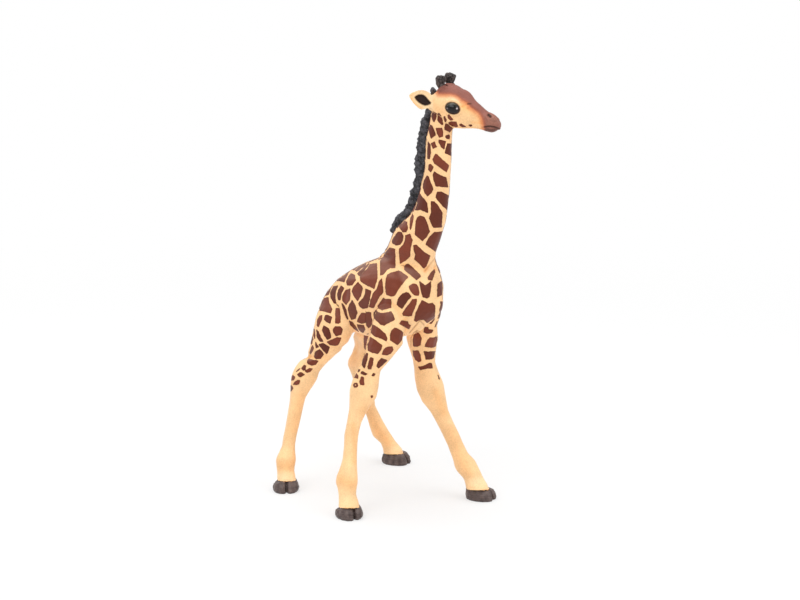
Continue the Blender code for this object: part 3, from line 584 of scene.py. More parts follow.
# Horns: the rise of the skull at their feet, their stalks and their tufts
HORN_BASE_RISE = 1.35 * MM
HORN_BASE_REACH = 2.0 * MM
HORN_BASE_FORWARD = 0.6 * MM
HORN_TUFT_HEIGHT = 4.1 * MM
HORN_NARROWING = 0.28
HORN_FOOT_GROW = 0.4 * MM
HORN_BARE_SLANT = 0.28
HORN_BASE_FADE = 1.5 * MM
HORN_NARROW_EDGE = (0.45, 1.0)
HORN_BARE_EDGE = (0.95, 1.05)
HORN_BARE_SMOOTHNESS = 0.8

# Sizes of locks and knobs of hair, across, back and up, and how far each stands out
MANE_LOCKS = (1.3 * MM, 2.4 * MM, 1.7 * MM)
MANE_KNOBS = (0.6 * MM, 0.8 * MM, 0.6 * MM)
MANE_RISES = (0.95 * MM, 0.34 * MM)
TAIL_LOCKS = (0.9 * MM, 0.9 * MM, 4.5 * MM)
TAIL_KNOBS = (0.4 * MM, 0.4 * MM, 1.6 * MM)
TAIL_RISES = (0.55 * MM, 0.2 * MM)
HORN_LOCKS = (1.4 * MM, 1.4 * MM, 1.8 * MM)
HORN_KNOBS = (0.5 * MM, 0.5 * MM, 0.8 * MM)
HORN_RISES = (0.6 * MM, 0.22 * MM)
LOCK_SEEDS = (3.7, 8.2)
HAIR_ROUNDS = 2
HAIR_SMOOTHING = 0.6
LOCK_TIPS = (0.6, 0.7)

# The mane's seat on the neck: how deep its inner side is rooted, how far its outer side stands out
# at least, its top level, and the soft edges of its crown, its inner and its outer side
CREST_ROOT = 0.5 * MM
CREST_LEAST = 0.8 * MM
CREST_TOP = 118.1 * MM
CREST_FADE = 1.2 * MM
CREST_INNER = (0.15, -0.45)
CREST_OUTER = (0.2, 0.7)
CREST_ROUNDS = 7
CREST_OVERLAP = 4
CREST_BORDER_POINTS = 20
CREST_DEEPEN = 0.5

# Eye: soft edges of its rim, of its crescent of painted reflection and of its glints, which are painted
# highlights
EYE_RIM_EDGE = (0.72, 0.95)
EYE_REFLECTION_WIDTH = 1.0
EYE_GLINT_EDGE = (1.3, 0.5)

# Hoof: growth rings and unevenness, each with its size and height
HOOF_RING = 0.62 * MM
HOOF_RING_WAVER = (4 * MM, 1.3)
HOOF_RING_HEIGHT = 0.014 * MM
HOOF_LUMPS = (1.6 * MM, 0.07 * MM)
HOOF_CLOUDS = (2.2 * MM, 0.3)
HOOF_SIDE = (0.75, 0.2)
HOOF_RING_TONE = 0.14
HOOF_SEEDS = (21, 22, 23)


def linear(red, green, blue):
    """A colour as a paint chart gives it, 0 to 255, in the light values that shaders use."""
    return tuple((part / 255) ** 2.2 for part in (red, green, blue)) + (1,)


# Colours of the paints
CREAM = linear(252, 205, 151)
PALE_CREAM = linear(253, 220, 174)
PEACH = linear(242, 168, 98)
DARK_BROWN = linear(94, 42, 25)
LIGHT_BROWN = linear(126, 60, 40)
# Painted sheen: the greyer, lighter brown of patches that face up
PAINTED_SHEEN_BROWN = linear(150, 112, 98)
RIM_BROWN = linear(74, 30, 20)
BLUSH = linear(205, 108, 66)
MASK_BROWN = linear(143, 90, 79)
UMBER = linear(44, 27, 22)
# Hair colours: painted shade between the locks and painted highlight on their tips
HAIR_SHADED = linear(24, 24, 26)
HAIR_LIT = linear(82, 81, 87)
HAIR_FLECK = linear(118, 110, 108)
TUFT_SHADED = linear(24, 19, 18)
TUFT_LIT = linear(86, 74, 71)
HOOF_DARK = linear(72, 58, 56)
HOOF_LIGHT = linear(106, 92, 88)
EYE_BLACK = linear(9, 8, 9)
EYE_BROWN = linear(64, 36, 24)
# Painted reflection and painted highlight on the eye
EYE_REFLECTION_GREY = linear(88, 90, 78)
EYE_GLINT_WHITE = linear(226, 212, 210)

# Ranges of shader noise, and how far clouds and flecks swing the value of a brushed colour
NOISE_SPAN = (0.3, 0.7)
CLOUD_SPAN = (0.25, 0.75)
CLOUD_SWING = 0.6
FLECK_SWING = 0.5

# Paint edges on the hide, as depths in metres, and the share of each colour that is laid over
EDGE_WAVER = 0.00005
EDGE_WAVER_SIZE = 0.9
BLEED_EDGE = (-0.0005, -0.00002)
BLEED_SHARE = 0.14
RIM_EDGE = (0.0004, 0.00005)
RIM_SHARE = 0.45
# Share of peach over the cream, which is partly painted shade
PEACH_AND_SHADE_SHARE = 0.85
# Painted sheen: how far up a patch must face to take it, and its share
PAINTED_SHEEN_SLOPES = (0.2, 0.95)
PAINTED_SHEEN_SHARE = 0.64
BLUSH_SHARE = 0.7
SEAM_SHADE_SHARE = 0.55
MASK_BLUSH_SHARE = 0.3
PAINT_HEIGHT = 0.02

# Hair and eye: soft edges and shares of their colours
HAIR_TIPS = (0.2, 0.85)
HAIR_FLECK_SIZE = 0.45
HAIR_FLECK_EDGE = (0.58, 0.7)
HAIR_FLECK_SHARE = 0.5
EYE_CLOUD_SIZE = 1.4
EYE_CLOUD_EDGE = (0.45, 0.7)
EYE_CLOUD_SHARE = 0.3
EYE_REFLECTION_SHARE = 0.6
EYE_COAT = (0.25, 0.03)

# Plain roughness and specular level of each paint
HIDE_GLOSS = (0.45, 0.28)
HAIR_GLOSS = (0.6, 0.3)
HOOF_GLOSS = (0.45, 0.4)
EYE_GLOSS = (0.08, 0.25)
PAPER_GLOSS = (0.9, 0.1)

# Surface effects, in millimetres: size of the brush's clouds and flecks and their amount, size and
# height of the grain, and the sheen's size with its low and high roughness
HIDE_SURFACE = ((4.0, 0.35, 0.13), (0.35, 0.02), (5.0, 0.4, 0.54))
HAIR_SURFACE = ((3.0, 0.3, 0.35), (0.28, 0.09), (2.0, 0.5, 0.68))
HOOF_SURFACE = ((2.5, 0.3, 0.3), (0.3, 0.03), (2.0, 0.36, 0.52))
EYE_SURFACE = ((1.5, 0.3, 0.2), (0.8, 0.004), (1.2, 0.06, 0.14))

# Light: each lamp's name, azimuth, elevation, watts and width
LAMPS = (
    ("key_light", -75, 50, 1.9, 0.5),
    ("fill_light", 20, 35, 1.6, 0.6),
    ("top_light", 180, 78, 3.0, 0.6),
)
LAMP_TARGET = Vector((0, 0, 0.06))
LAMP_DISTANCE = 0.8
SKY_LEVEL = 0.68
FLOOR_REACH = 3
PAPER_TONE = (0.82, 0.82, 0.82, 1)
PAPER_SHARE = 0.58
PAPER_GLOW = 1.0
PAPER_NEAR = 0.12
PAPER_FAR = 0.4

# Directions in the photograph's view: towards the camera, right and up
view_back = Vector((
    math.sin(VIEW_AZIMUTH) * math.cos(VIEW_ELEVATION),
    -math.cos(VIEW_AZIMUTH) * math.cos(VIEW_ELEVATION),
    math.sin(VIEW_ELEVATION),
))
view_right = Vector((math.cos(VIEW_AZIMUTH), math.sin(VIEW_AZIMUTH), 0))
view_up = view_back.cross(view_right)

# The head's middle, between the eyes, and its own axes
eye_low, eye_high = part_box("eye_left")
other_low, other_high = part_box("eye_right")
head_centre = (eye_low + eye_high + other_low + other_high) / 4
head_axes = Matrix.Rotation(HEAD_YAW, 3, "Z") @ Matrix.Rotation(HEAD_PITCH, 3, "X")
head_rows = np.array(head_axes.transposed())

# A pixel of the photograph at the head, in metres
pixel_size = (VIEW_PLACE - head_centre).length / PIXELS_PER_SLOPE


# Helpers on points

def photo_pixels(points):
    """Where points in space fall in the photograph."""
    ahead = points - np.array(VIEW_PLACE)
    depth = -(ahead @ np.array(view_back))
    across = PHOTO_SIZE[0] / 2 + ahead @ np.array(view_right) / depth * PIXELS_PER_SLOPE
    down = PHOTO_SIZE[1] / 2 - ahead @ np.array(view_up) / depth * PIXELS_PER_SLOPE
    return np.stack([across, down], 1)


def pixel_ray(pixel):
    """The direction of sight through a pixel of the photograph."""
    slope_right = (pixel[0] - PHOTO_SIZE[0] / 2) / PIXELS_PER_SLOPE
    slope_up = (PHOTO_SIZE[1] / 2 - pixel[1]) / PIXELS_PER_SLOPE
    return (view_right * slope_right + view_up * slope_up - view_back).normalized()


def view_directions(points):
    """Unit directions from points to the camera."""
    to_view = np.array(VIEW_PLACE) - points
    return to_view / np.linalg.norm(to_view, axis=1)[:, None]


def picture_move(across, down):
    """A move in space that shifts the picture of the figure by some pixels."""
    return (np.outer(across, view_right) - np.outer(down, view_up)) * pixel_size


def smooth_step(low, high, value):
    """0 at the low value and 1 at the high one, with a soft step between; low may be the larger."""
    share = np.clip((value - low) / (high - low), 0, 1)
    return share * share * (3 - 2 * share)


def bell(gap, width):
    """A soft bump: 1 where there is no gap, and about a third at the width."""
    return np.exp(-(gap / width) ** 2)


def path_distance(pixels, path):
    """Distance in pixels from a drawn line."""
    nearest = np.full(len(pixels), np.inf)
    corners = np.array(path, float)
    for start, end in zip(corners, corners[1:]):
        edge = end - start
        share = np.clip(((pixels - start) @ edge) / (edge @ edge), 0, 1)
        gap = pixels - (start + share[:, None] * edge)
        nearest = np.minimum(nearest, np.hypot(gap[:, 0], gap[:, 1]))
    return nearest


def line_bells(pixels, lines):
    """For each of some drawn lines, its strength and the soft bump across it."""
    for path, width, strength in lines:
        yield strength, bell(path_distance(pixels, path), width)


def spot_gap(pixels, middle):
    """Distance in pixels from a spot."""
    return np.linalg.norm(pixels - np.array(middle), axis=1)


def inside_depth(pixels, outline):
    """How far inside an outline each pixel lies; outside it is negative."""
    ring = np.array((*outline, outline[0]), float)
    nearest = path_distance(pixels, ring)
    inside = np.zeros(len(pixels), bool)
    x, y = pixels[:, 0], pixels[:, 1]
    for start, end in zip(ring, ring[1:]):
        edge = end - start
        if start[1] != end[1]:
            crossing = (start[1] > y) != (end[1] > y)
            inside ^= crossing & (x < (y - start[1]) / edge[1] * edge[0] + start[0])
    return np.where(inside, nearest, -nearest)


def blend_noise(points, scale, seed):
    """Soft repeatable noise between about -1 and 1, from a few crossing waves."""
    draw = np.random.default_rng(seed)
    total = np.zeros(len(points))
    for wave in range(NOISE_WAVES):
        direction = draw.normal(size=3)
        direction *= draw.uniform(*NOISE_LENGTHS) / np.linalg.norm(direction) / scale
        total += np.sin(points @ direction * math.tau + draw.uniform(0, math.tau))
    return total / NOISE_SUM


def owned(owners, *names):
    """Which points lie nearest to the named nodes."""
    return np.isin(owners, [HIDE_NODES.index(name) for name in names])


def point_finder(points):
    """A search tree over points, for the nearest ones."""
    finder = kdtree.KDTree(len(points))
    for index, point in enumerate(points):
        finder.insert(point, index)
    finder.balance()
    return finder


# Helpers on meshes

def welded_shell(node, grow):
    """A node's surface, welded and grown outward along its normals, as a bmesh."""
    shape = bmesh.new()
    shape.from_mesh(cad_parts[node].data)
    bmesh.ops.remove_doubles(shape, verts=shape.verts, dist=WELD)
    shape.normal_update()
    moves = [(vert, vert.normal * grow) for vert in shape.verts]
    for vert, move in moves:
        vert.co += move
    return shape


def as_lists(shape):
    """A bmesh's points and faces as plain lists; the bmesh is given up."""
    shape.verts.index_update()
    points = [tuple(vert.co) for vert in shape.verts]
    faces = [[vert.index for vert in face.verts] for face in shape.faces]
    shape.free()
    return points, faces


def merged_mesh(grows):
    """The surfaces of several nodes in one, each grown by its own amount, and each face's node."""
    points, faces, owners = [], [], []
    for index, (node, grow) in enumerate(grows.items()):
        shell_points, shell_faces = as_lists(welded_shell(node, grow))
        faces += [[len(points) + corner for corner in face] for face in shell_faces]
        points += shell_points
        owners += [index] * len(shell_faces)
    return np.array(points), faces, owners


def horn_foot(node):
    """The part of a horn below its tuft, closed and a little wider, so that it fills its socket."""
    shape = welded_shell(node, HORN_FOOT_GROW)
    top = max(vert.co.z for vert in shape.verts)
    everything = shape.verts[:] + shape.edges[:] + shape.faces[:]
    level = Vector((0, 0, top - HORN_TUFT_HEIGHT))
    bmesh.ops.bisect_plane(shape, geom=everything, plane_co=level, plane_no=Vector((0, 0, 1)),
                           clear_outer=True)
    bmesh.ops.holes_fill(shape, edges=[edge for edge in shape.edges if edge.is_boundary], sides=0)
    points, faces = as_lists(shape)
    across, down = HORN_SHIFTS[node]
    return np.array(points) + picture_move([across], [down]), faces


def voxel_mesh(points, faces, voxel):
    """One closed even skin round everything given, as points and quads."""
    mesh = bpy.data.meshes.new("rough")
    mesh.from_pydata(points.tolist(), [], faces)
    rough = bpy.data.objects.new("rough", mesh)
    bpy.context.scene.collection.objects.link(rough)
    step = rough.modifiers.new("remesh", "REMESH")
    step.mode = "VOXEL"
    step.voxel_size = voxel
    step.adaptivity = 0
    bpy.context.view_layer.update()
    evaluated = rough.evaluated_get(bpy.context.evaluated_depsgraph_get())
    shaped = evaluated.to_mesh()
    even = np.empty(len(shaped.vertices) * 3)
    shaped.vertices.foreach_get("co", even)
    corners = np.empty(len(shaped.loops), int)
    shaped.loops.foreach_get("vertex_index", corners)
    evaluated.to_mesh_clear()
    bpy.data.objects.remove(rough)
    return even.reshape(-1, 3), corners.reshape(-1, 4)


class Skin:
    """A quad mesh held as arrays, with the few sculpting moves that the figure needs."""

    def __init__(self, points, quads):
        self.points = points
        self.quads = quads
        edges = np.concatenate([quads[:, [side, (side + 1) % 4]] for side in range(4)])
        edges = np.unique(np.sort(edges, 1), axis=0)
        self.ends = np.concatenate([edges, edges[:, ::-1]])
        self.valence = np.bincount(self.ends[:, 0], minlength=len(points)).astype(float)

    def spread(self, values, rounds=1):
        """Each point takes the mean of its neighbours' values, as often as asked."""
        start, end = self.ends[:, 0], self.ends[:, 1]
        table = values if values.ndim == 2 else values[:, None]
        for turn in range(rounds):
            mean = [np.bincount(start, table[end, column], len(table)) / self.valence
                    for column in range(table.shape[1])]
            table = np.stack(mean, 1)
        return table if values.ndim == 2 else table[:, 0]

    def smooth(self, rounds, amount=1.0, keep=0.52):
        """Evens the surface out without shrinking it much; amount may differ from point to point."""
        weight = np.broadcast_to(np.asarray(amount, float), (len(self.points),))[:, None]
        for turn in range(rounds):
            self.points = self.points + (self.spread(self.points) - self.points) * 0.5 * weight
            if keep:
                self.points = self.points - (self.spread(self.points) - self.points) * keep * weight

    def normals(self):
        """The surface's direction at each point."""
        corners = self.points[self.quads]
        facing = np.cross(corners[:, 2] - corners[:, 0], corners[:, 3] - corners[:, 1])
        total = np.zeros_like(self.points)
        for corner in range(4):
            for axis in range(3):
                total[:, axis] += np.bincount(self.quads[:, corner], facing[:, axis], len(total))
        return total / np.maximum(np.linalg.norm(total, axis=1), LEAST_NORMAL)[:, None]

    def lift(self, height):
        """Raises each point along the surface's direction."""
        self.points = self.points + self.normals() * np.asarray(height)[:, None]


# Sides of the head

def head_local(points):
    """Points in the head's own frame: X left, Y back, Z up, from between the eyes."""
    return (points - np.array(head_centre)) @ head_rows.T


def near_side(points):
    """Points of the head mirrored onto the side that the photograph shows."""
    local = head_local(points)
    local[:, 0] = -np.abs(local[:, 0])
    return local @ head_rows + np.array(head_centre)


def head_view(skin, on_head):
    """Pixels of the head's points, the far side mirrored onto the near, and how they face the view."""
    points = np.where(on_head[:, None], near_side(skin.points), skin.points)
    normals = skin.normals()
    local = normals @ head_rows.T
    far = head_local(skin.points)[:, 0] > 0
    local[:, 0] *= np.where(far, -1, 1)
    mirrored = np.where(on_head[:, None], local @ head_rows, normals)
    return photo_pixels(points), (mirrored * view_directions(points)).sum(1)


def eye_reach(pixels):
    """1 on the edge of the eye's opening, less inside it and more outside."""
    turn = math.radians(EYE_TILT)
    arm = pixels - np.array(EYE_MIDDLE)
    along = arm @ np.array((math.cos(turn), math.sin(turn)))
    across = arm @ np.array((-math.sin(turn), math.cos(turn)))
    return np.hypot(along / EYE_OPENING[0], across / EYE_OPENING[1])


# The raw skin

def head_arms(points):
    """Each point's arm from between the eyes, and its length."""
    arm = points - np.array(head_centre)
    return arm, np.linalg.norm(arm, axis=1)


def head_zoomed(points):
    """Draws the head's surroundings larger before the remesh, so that the face gets finer faces."""
    arm, reach = head_arms(points)
    zoomed = np.where(reach < HEAD_REACH, reach * HEAD_ZOOM, reach + HEAD_REACH * (HEAD_ZOOM - 1))
    return np.array(head_centre) + arm * (zoomed / reach)[:, None]


def head_unzoomed(points):
    """Brings the enlarged head back to its size."""
    arm, reach = head_arms(points)
    edge = HEAD_REACH * HEAD_ZOOM
    back = np.where(reach < edge, reach / HEAD_ZOOM, reach - HEAD_REACH * (HEAD_ZOOM - 1))
    return np.array(head_centre) + arm * (back / reach)[:, None]


def raw_skin():
    """One even skin drawn over all nodes of the hide, the eyeballs and the feet of the horns."""
    grows = dict.fromkeys(HIDE_NODES, SEAM_GROW)
    grows["eye_left"] = grows["eye_right"] = SOCKET_GROW
    points, faces, owners = merged_mesh(grows)
    for node in HORN_SHIFTS:
        foot, foot_faces = horn_foot(node)
        faces += [[len(points) + corner for corner in face] for face in foot_faces]
        points = np.concatenate([points, foot])
    points, quads = voxel_mesh(head_zoomed(points), faces, SKIN_VOXEL)
    skin = Skin(head_unzoomed(points), quads)
    skin.smooth(SKIN_ROUNDS)
    skin.lift(np.full(len(skin.points), -SEAM_GROW))
    return skin


def owner_of_points(skin):
    """The CAD node that each point of the skin lies nearest to, as an index into HIDE_NODES."""
    points, faces, owners = merged_mesh(dict.fromkeys(HIDE_NODES, 0))
    tree = BVHTree.FromPolygons(points.tolist(), faces)
    return np.array([owners[tree.find_nearest(point)[2]] for point in skin.points.tolist()])


# Coat

def seen_share(skin, tree):
    """How well the photograph shows each point: 1 where it faces the view, 0 where it is hidden."""
    normals = skin.normals()
    to_view = view_directions(skin.points)
    facing = (normals * to_view).sum(1)
    shown = np.zeros(len(skin.points))
    starts = skin.points + normals * SIGHT_OFF_SKIN + to_view * SIGHT_AHEAD
    for index in np.nonzero(facing > SIGHT_FACING)[0]:
        if tree.ray_cast(Vector(starts[index]), Vector(to_view[index]))[0] is None:
            shown[index] = 1
    for turn in range(SIGHT_ROUNDS):
        shown = 0.5 * shown + 0.5 * skin.spread(shown)
    waver = JOIN_WAVER * blend_noise(skin.points, JOIN_WAVER_SIZE, JOIN_SEED)
    on_neck = smooth_step(*NECK_LEVELS, skin.points[:, 2])
    on_back = smooth_step(*BACK_SLOPES, normals[:, 2])
    facing = facing + waver - np.maximum(NECK_YIELD * on_neck, BACK_YIELD * on_back)
    return smooth_step(*JOIN_FACING, facing) * smooth_step(*JOIN_SHOWN, shown)


def painted_depth(pixels, patches):
    """Depth inside the nearest outline, in metres at the figure, and which outline it is."""
    depth = np.full(len(pixels), NO_PATCH)
    which = np.zeros(len(pixels), int)
    for index, outline in enumerate(patches):
        low = np.min(outline, 0) - PATCH_MARGIN
        high = np.max(outline, 0) + PATCH_MARGIN
        near = np.nonzero(((pixels > low) & (pixels < high)).all(1))[0]
        if len(near):
            found = inside_depth(pixels[near], outline) * pixel_size
            better = found > depth[near]
            depth[near[better]] = found[better]
            which[near[better]] = index
    ring = (spot_gap(pixels, RING_SPOT) - RING_SPOT_HOLE) * pixel_size
    return np.minimum(depth, np.where(ring < RING_SPOT_REACH * pixel_size, ring, np.inf)), which


def cell_seeds(skin, tree, patches, allowed):
    """Middles of the drawn patches, and further ones spread evenly over the rest of the hide."""
    hits = [tree.ray_cast(VIEW_PLACE, pixel_ray(np.mean(outline, 0)))[0] for outline in patches]
    seeds = np.array([np.array(hit) for hit in hits if hit is not None])
    draw = np.random.default_rng(CELL_SEED)
    order = draw.permutation(np.nonzero(allowed)[0])[:CELL_CHOICES]
    places = skin.points[order]
    spacing = CELL_SPACING * draw.uniform(*CELL_SPACING_RANGE, len(places))
    spacing *= np.where(places[:, 2] < LOW_CELLS[0], LOW_CELLS[1], 1)
    spacing *= np.where(places[:, 2] > HIGH_CELLS[0], HIGH_CELLS[1], 1)
    gap = np.min(np.linalg.norm(places[:, None, :] - seeds[None, :, :], axis=2), 1)
    while (gap / spacing).max() > 1:
        pick = np.argmax(gap / spacing)
        seeds = np.vstack([seeds, places[pick]])
        gap = np.minimum(gap, np.linalg.norm(places - places[pick], axis=1))
    return seeds


def cell_depth(points, seeds):
    """Depth inside the cell of the nearest seed: flat borders midway between the seeds."""
    finder = point_finder(seeds)
    depth = np.empty(len(points))
    which = np.empty(len(points), int)
    for index, point in enumerate(points.tolist()):
        first, *others = finder.find_n(point, CELL_NEIGHBOURS)
        depth[index] = min((after[2] ** 2 - first[2] ** 2) / (2 * (after[0] - first[0]).length)
                           for after in others)
        which[index] = first[1]
    return depth - LINE_HALF_WIDTH, which


def cell_shrink(skin, seeds, room):
    """Patches shrink towards the edge of the spotted part, and past it there are none."""
    finder = point_finder(skin.points.tolist())
    seed_room = np.array([room[finder.find(seed)[1]] for seed in seeds.tolist()])
    shrink = smooth_step(*CELL_SHRINK_ROOM, seed_room) * CELL_SHRINK
    return shrink + (seed_room < CELL_SHRINK_ROOM[1]) * CELL_GONE


def spotted_room(points, normals, owners):
    """How far inside the spotted part of the coat each point lies, in metres; below it is plain."""
    room = np.full(len(points), ROOM_MOST)
    for name in LEGS:
        on_leg = owned(owners, name)
        hand = 1 if name.endswith("left") else -1
        above = points[on_leg, 2] - PLAIN_LEG_LEVEL
        outward = (normals[on_leg, 0] * hand + LEG_INSIDE[0]) * LEG_INSIDE[1]
        room[on_leg] = np.minimum(above, outward + (above - LEG_INSIDE_LEVEL[0]) * LEG_INSIDE_LEVEL[1])
    torso = owned(owners, "torso")
    room[torso] = np.minimum(room[torso], (normals[torso, 2] + BELLY_ROOM[0]) * BELLY_ROOM[1])
    on_tail = owned(owners, "tail")
    room[on_tail] = (points[on_tail, 2] - points[on_tail, 2].max()) + TAIL_ROOT_DEPTH
    return room


def patch_paint(skin, tree, owners, pixels):
    """Depth inside a brown patch, drawn or made up, and the tone of the patch."""
    normals = skin.normals()
    on_head = owned(owners, "head", *EARS)
    patches = TORSO_PATCHES + NECK_PATCHES + CHEEK_PATCHES + THIGH_PATCHES + FORELEG_PATCHES
    drawn, which_drawn = painted_depth(pixels, patches)
    room = spotted_room(skin.points, normals, owners)
    seeds = cell_seeds(skin, tree, patches, ~on_head & (room > CELL_ROOM))
    cells, which_cell = cell_depth(skin.points, seeds)
    cells -= cell_shrink(skin, seeds, room)[which_cell]
    cells = np.minimum(cells, CELL_EDGE + room * CELL_ROOM_SHARE)
    seen = np.where(on_head, 1, seen_share(skin, tree))
    drawn = np.maximum(drawn + PAINT_SPREAD, np.where(seen > WELL_SEEN, NO_PATCH, BARE_DRAWN))
    depth = drawn * seen + np.minimum(cells, CELL_TOP) * (1 - seen)
    depth[owned(owners, *EARS)] = BARE_EAR
    tones = np.random.default_rng(TONE_SEED).uniform(0, 1, len(patches) + len(seeds))
    return depth, np.where(seen > 0.5, tones[which_drawn], tones[len(patches) + which_cell])


def paint_coat(skin, tree, owners):
    """Values painted on the hide: depth in a patch and its tone, paler cream with painted highlight, peach
    with painted shade, dark paint with painted shade in creases, the face's mask with its blush, and
    painted shade at seams."""
    on_head = owned(owners, "head", *EARS)
    skull = owned(owners, "head")
    pixels, facing = head_view(skin, on_head)
    depth, tone = patch_paint(skin, tree, owners, pixels)
    mask_depth = inside_depth(pixels, MASK_OUTLINE)
    mask = np.where(skull, smooth_step(*MASK_EDGE, mask_depth), 0)
    mask *= 1 - MUZZLE_PALENESS * bell(spot_gap(pixels, MUZZLE_MIDDLE), MUZZLE_REACH)
    blush = smooth_step(*BLUSH_OUTER, mask_depth) * smooth_step(*BLUSH_INNER, mask_depth)
    # Painted shade: peach in creases and hollows, and along drawn lines that are partly airbrushed peach
    peach_and_shade = HOLLOW_SHADE * smooth_step(*HOLLOW_RANGE, hollow_share(skin))
    for strength, near in line_bells(pixels, PEACH_AND_SHADE_LINES):
        peach_and_shade += strength * near
    # Paler cream, partly painted highlight on the ears and the brow
    pale_and_highlight = np.where(owned(owners, *EARS), EAR_PALENESS, 0.0)
    for strength, near in line_bells(pixels, PALE_AND_HIGHLIGHT_LINES):
        pale_and_highlight += strength * near
    return {
        "coat_depth": depth,
        "coat_tone": tone,
        "pale_and_highlight": np.minimum(pale_and_highlight, 1),
        "mask": mask,
        "blush": np.where(skull, blush, 0),
        "dark": painted_marks(owners, pixels, facing),
        "peach_and_shade": np.minimum(peach_and_shade, 1),
        "seam_shade": seam_marks(skin, owners, facing),
    }


def painted_marks(owners, pixels, facing):
    """Dark paint: inside the ears, round the eyes, in the nostrils and in the mouth; with painted shade in
    creases of the face and below the nostril.
    """
    shown = smooth_step(*PAINT_FACING, facing)
    ear_inside = smooth_step(*EAR_PAINT_EDGE, inside_depth(pixels, INNER_EAR_OUTLINE))
    marks = owned(owners, *EARS) * shown * ear_inside
    on_skull = owned(owners, "head") * shown
    marks = np.maximum(marks, on_skull * smooth_step(*EYE_PAINT_EDGE, eye_reach(pixels)))
    return np.maximum(marks, on_skull * mark_lines(pixels, MARK_LINES, MARK_CORE))


def mark_lines(pixels, lines, core):
    """Painted lines, full at their core and fading to nothing at their width."""
    marks = np.zeros(len(pixels))
    for path, width, strength in lines:
        line = strength * smooth_step(width, width * core, path_distance(pixels, path))
        marks = np.maximum(marks, line)
    return marks


def seam_marks(skin, owners, facing):
    """Painted shade: thin brown lines along the seams and mould lines of the body."""
    marks = mark_lines(photo_pixels(skin.points), SEAM_LINES, SEAM_CORE)
    return marks * smooth_step(*PAINT_FACING, facing) * ~owned(owners, "head", *EARS)


def hollow_share(skin):
    """About 1 in creases and hollows, 0.5 on flats and 0 on ridges, for the painted shade in hollows."""
    soft = skin.points.copy()
    for turn in range(HOLLOW_ROUNDS):
        soft = soft + (skin.spread(soft) - soft) * HOLLOW_PULL
    sunk = ((soft - skin.points) * skin.normals()).sum(1)
    return np.clip(0.5 + skin.spread(sunk, HOLLOW_SOFTENING) / HOLLOW_DEPTH, 0, 1)


# Pieces

def finished_piece(name, mesh, attributes, finish):
    """An object with the mesh, its painted values and its material."""
    for label, values in attributes.items():
        layer = mesh.attributes.new(label, "FLOAT", "POINT")
        layer.data.foreach_set("value", values.astype(np.float32))
    mesh.shade_smooth()
    mesh.materials.append(finish)
    piece = bpy.data.objects.new(name, mesh)
    bpy.context.scene.collection.objects.link(piece)
    return piece


def skin_piece(name, skin, normals, attributes, faces, finish):
    """A closed piece made of some of the skin's faces, shaded with the whole skin's normals."""
    used, corners = np.unique(skin.quads[faces], return_inverse=True)
    mesh = bpy.data.meshes.new(name)
    mesh.from_pydata(skin.points[used].tolist(), [], corners.reshape(-1, 4).tolist())
    shape = bmesh.new()
    shape.from_mesh(mesh)
    rim = [edge for edge in shape.edges if edge.is_boundary]
    bmesh.ops.holes_fill(shape, edges=rim, sides=0)
    shape.to_mesh(mesh)
    shape.free()
    painted = {label: values[used] for label, values in attributes.items()}
    piece = finished_piece(name, mesh, painted, finish)
    mesh.normals_split_custom_set_from_vertices(normals[used].tolist())
    return piece


def remeshed_piece(name, node, fineness, finish, slot, shape):
    """A node's own form with fine even faces, shaped further."""
    voxel, rounds = fineness
    points, faces, owners = merged_mesh({node: 0})
    skin = Skin(*voxel_mesh(points, faces, voxel))
    skin.smooth(rounds)
    attributes = shape(skin)
    mesh = bpy.data.meshes.new(name)
    mesh.from_pydata(skin.points.tolist(), [], skin.quads.tolist())
    place_piece(finished_piece(name, mesh, attributes, finish), slot, node)


def place_piece(piece, slot, *nodes):
    """Hangs a piece on the root body and hides the nodes that it replaces; its finish slot is not used."""
    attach(piece, "root")
    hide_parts(*nodes)


def build_hide(finish):
    """The painted hide, a piece to each node; gives a search tree of it without the ears."""
    skin = raw_skin()
    owners = owner_of_points(skin)
    sculpt(skin, owners)
    tree = BVHTree.FromPolygons(skin.points.tolist(), skin.quads.tolist())
    attributes = paint_coat(skin, tree, owners)
    lower_far_ear(skin, owners)
    normals = skin.normals()
    face_owner = np.sort(owners[skin.quads], 1)[:, 1]
    for index, node in enumerate(HIDE_NODES):
        piece = skin_piece(node + "_hide", skin, normals, attributes, face_owner == index, finish)
        place_piece(piece, "spotted_hide", node)
    without_ears = skin.quads[~owned(face_owner, *EARS)]
    return BVHTree.FromPolygons(skin.points.tolist(), without_ears.tolist())


# Sculpting

def edge_moves(rows, edge, path):
    """How far an edge has to move at each row of pixels to follow a path."""
    if path is None:
        return np.zeros(len(rows))
    along = np.array(path)
    move = np.interp(rows, along[:, 1], along[:, 0]) - edge
    beyond = np.maximum(along[0, 1] - rows, rows - along[-1, 1])
    return move * smooth_step(OUTLINE_FADE, 0, beyond)


def evened(values):
    """Values along a line, each softened with its neighbours."""
    padded = np.pad(values, len(ROW_WEIGHTS) // 2, mode="edge")
    return np.convolve(padded, ROW_WEIGHTS, "valid")


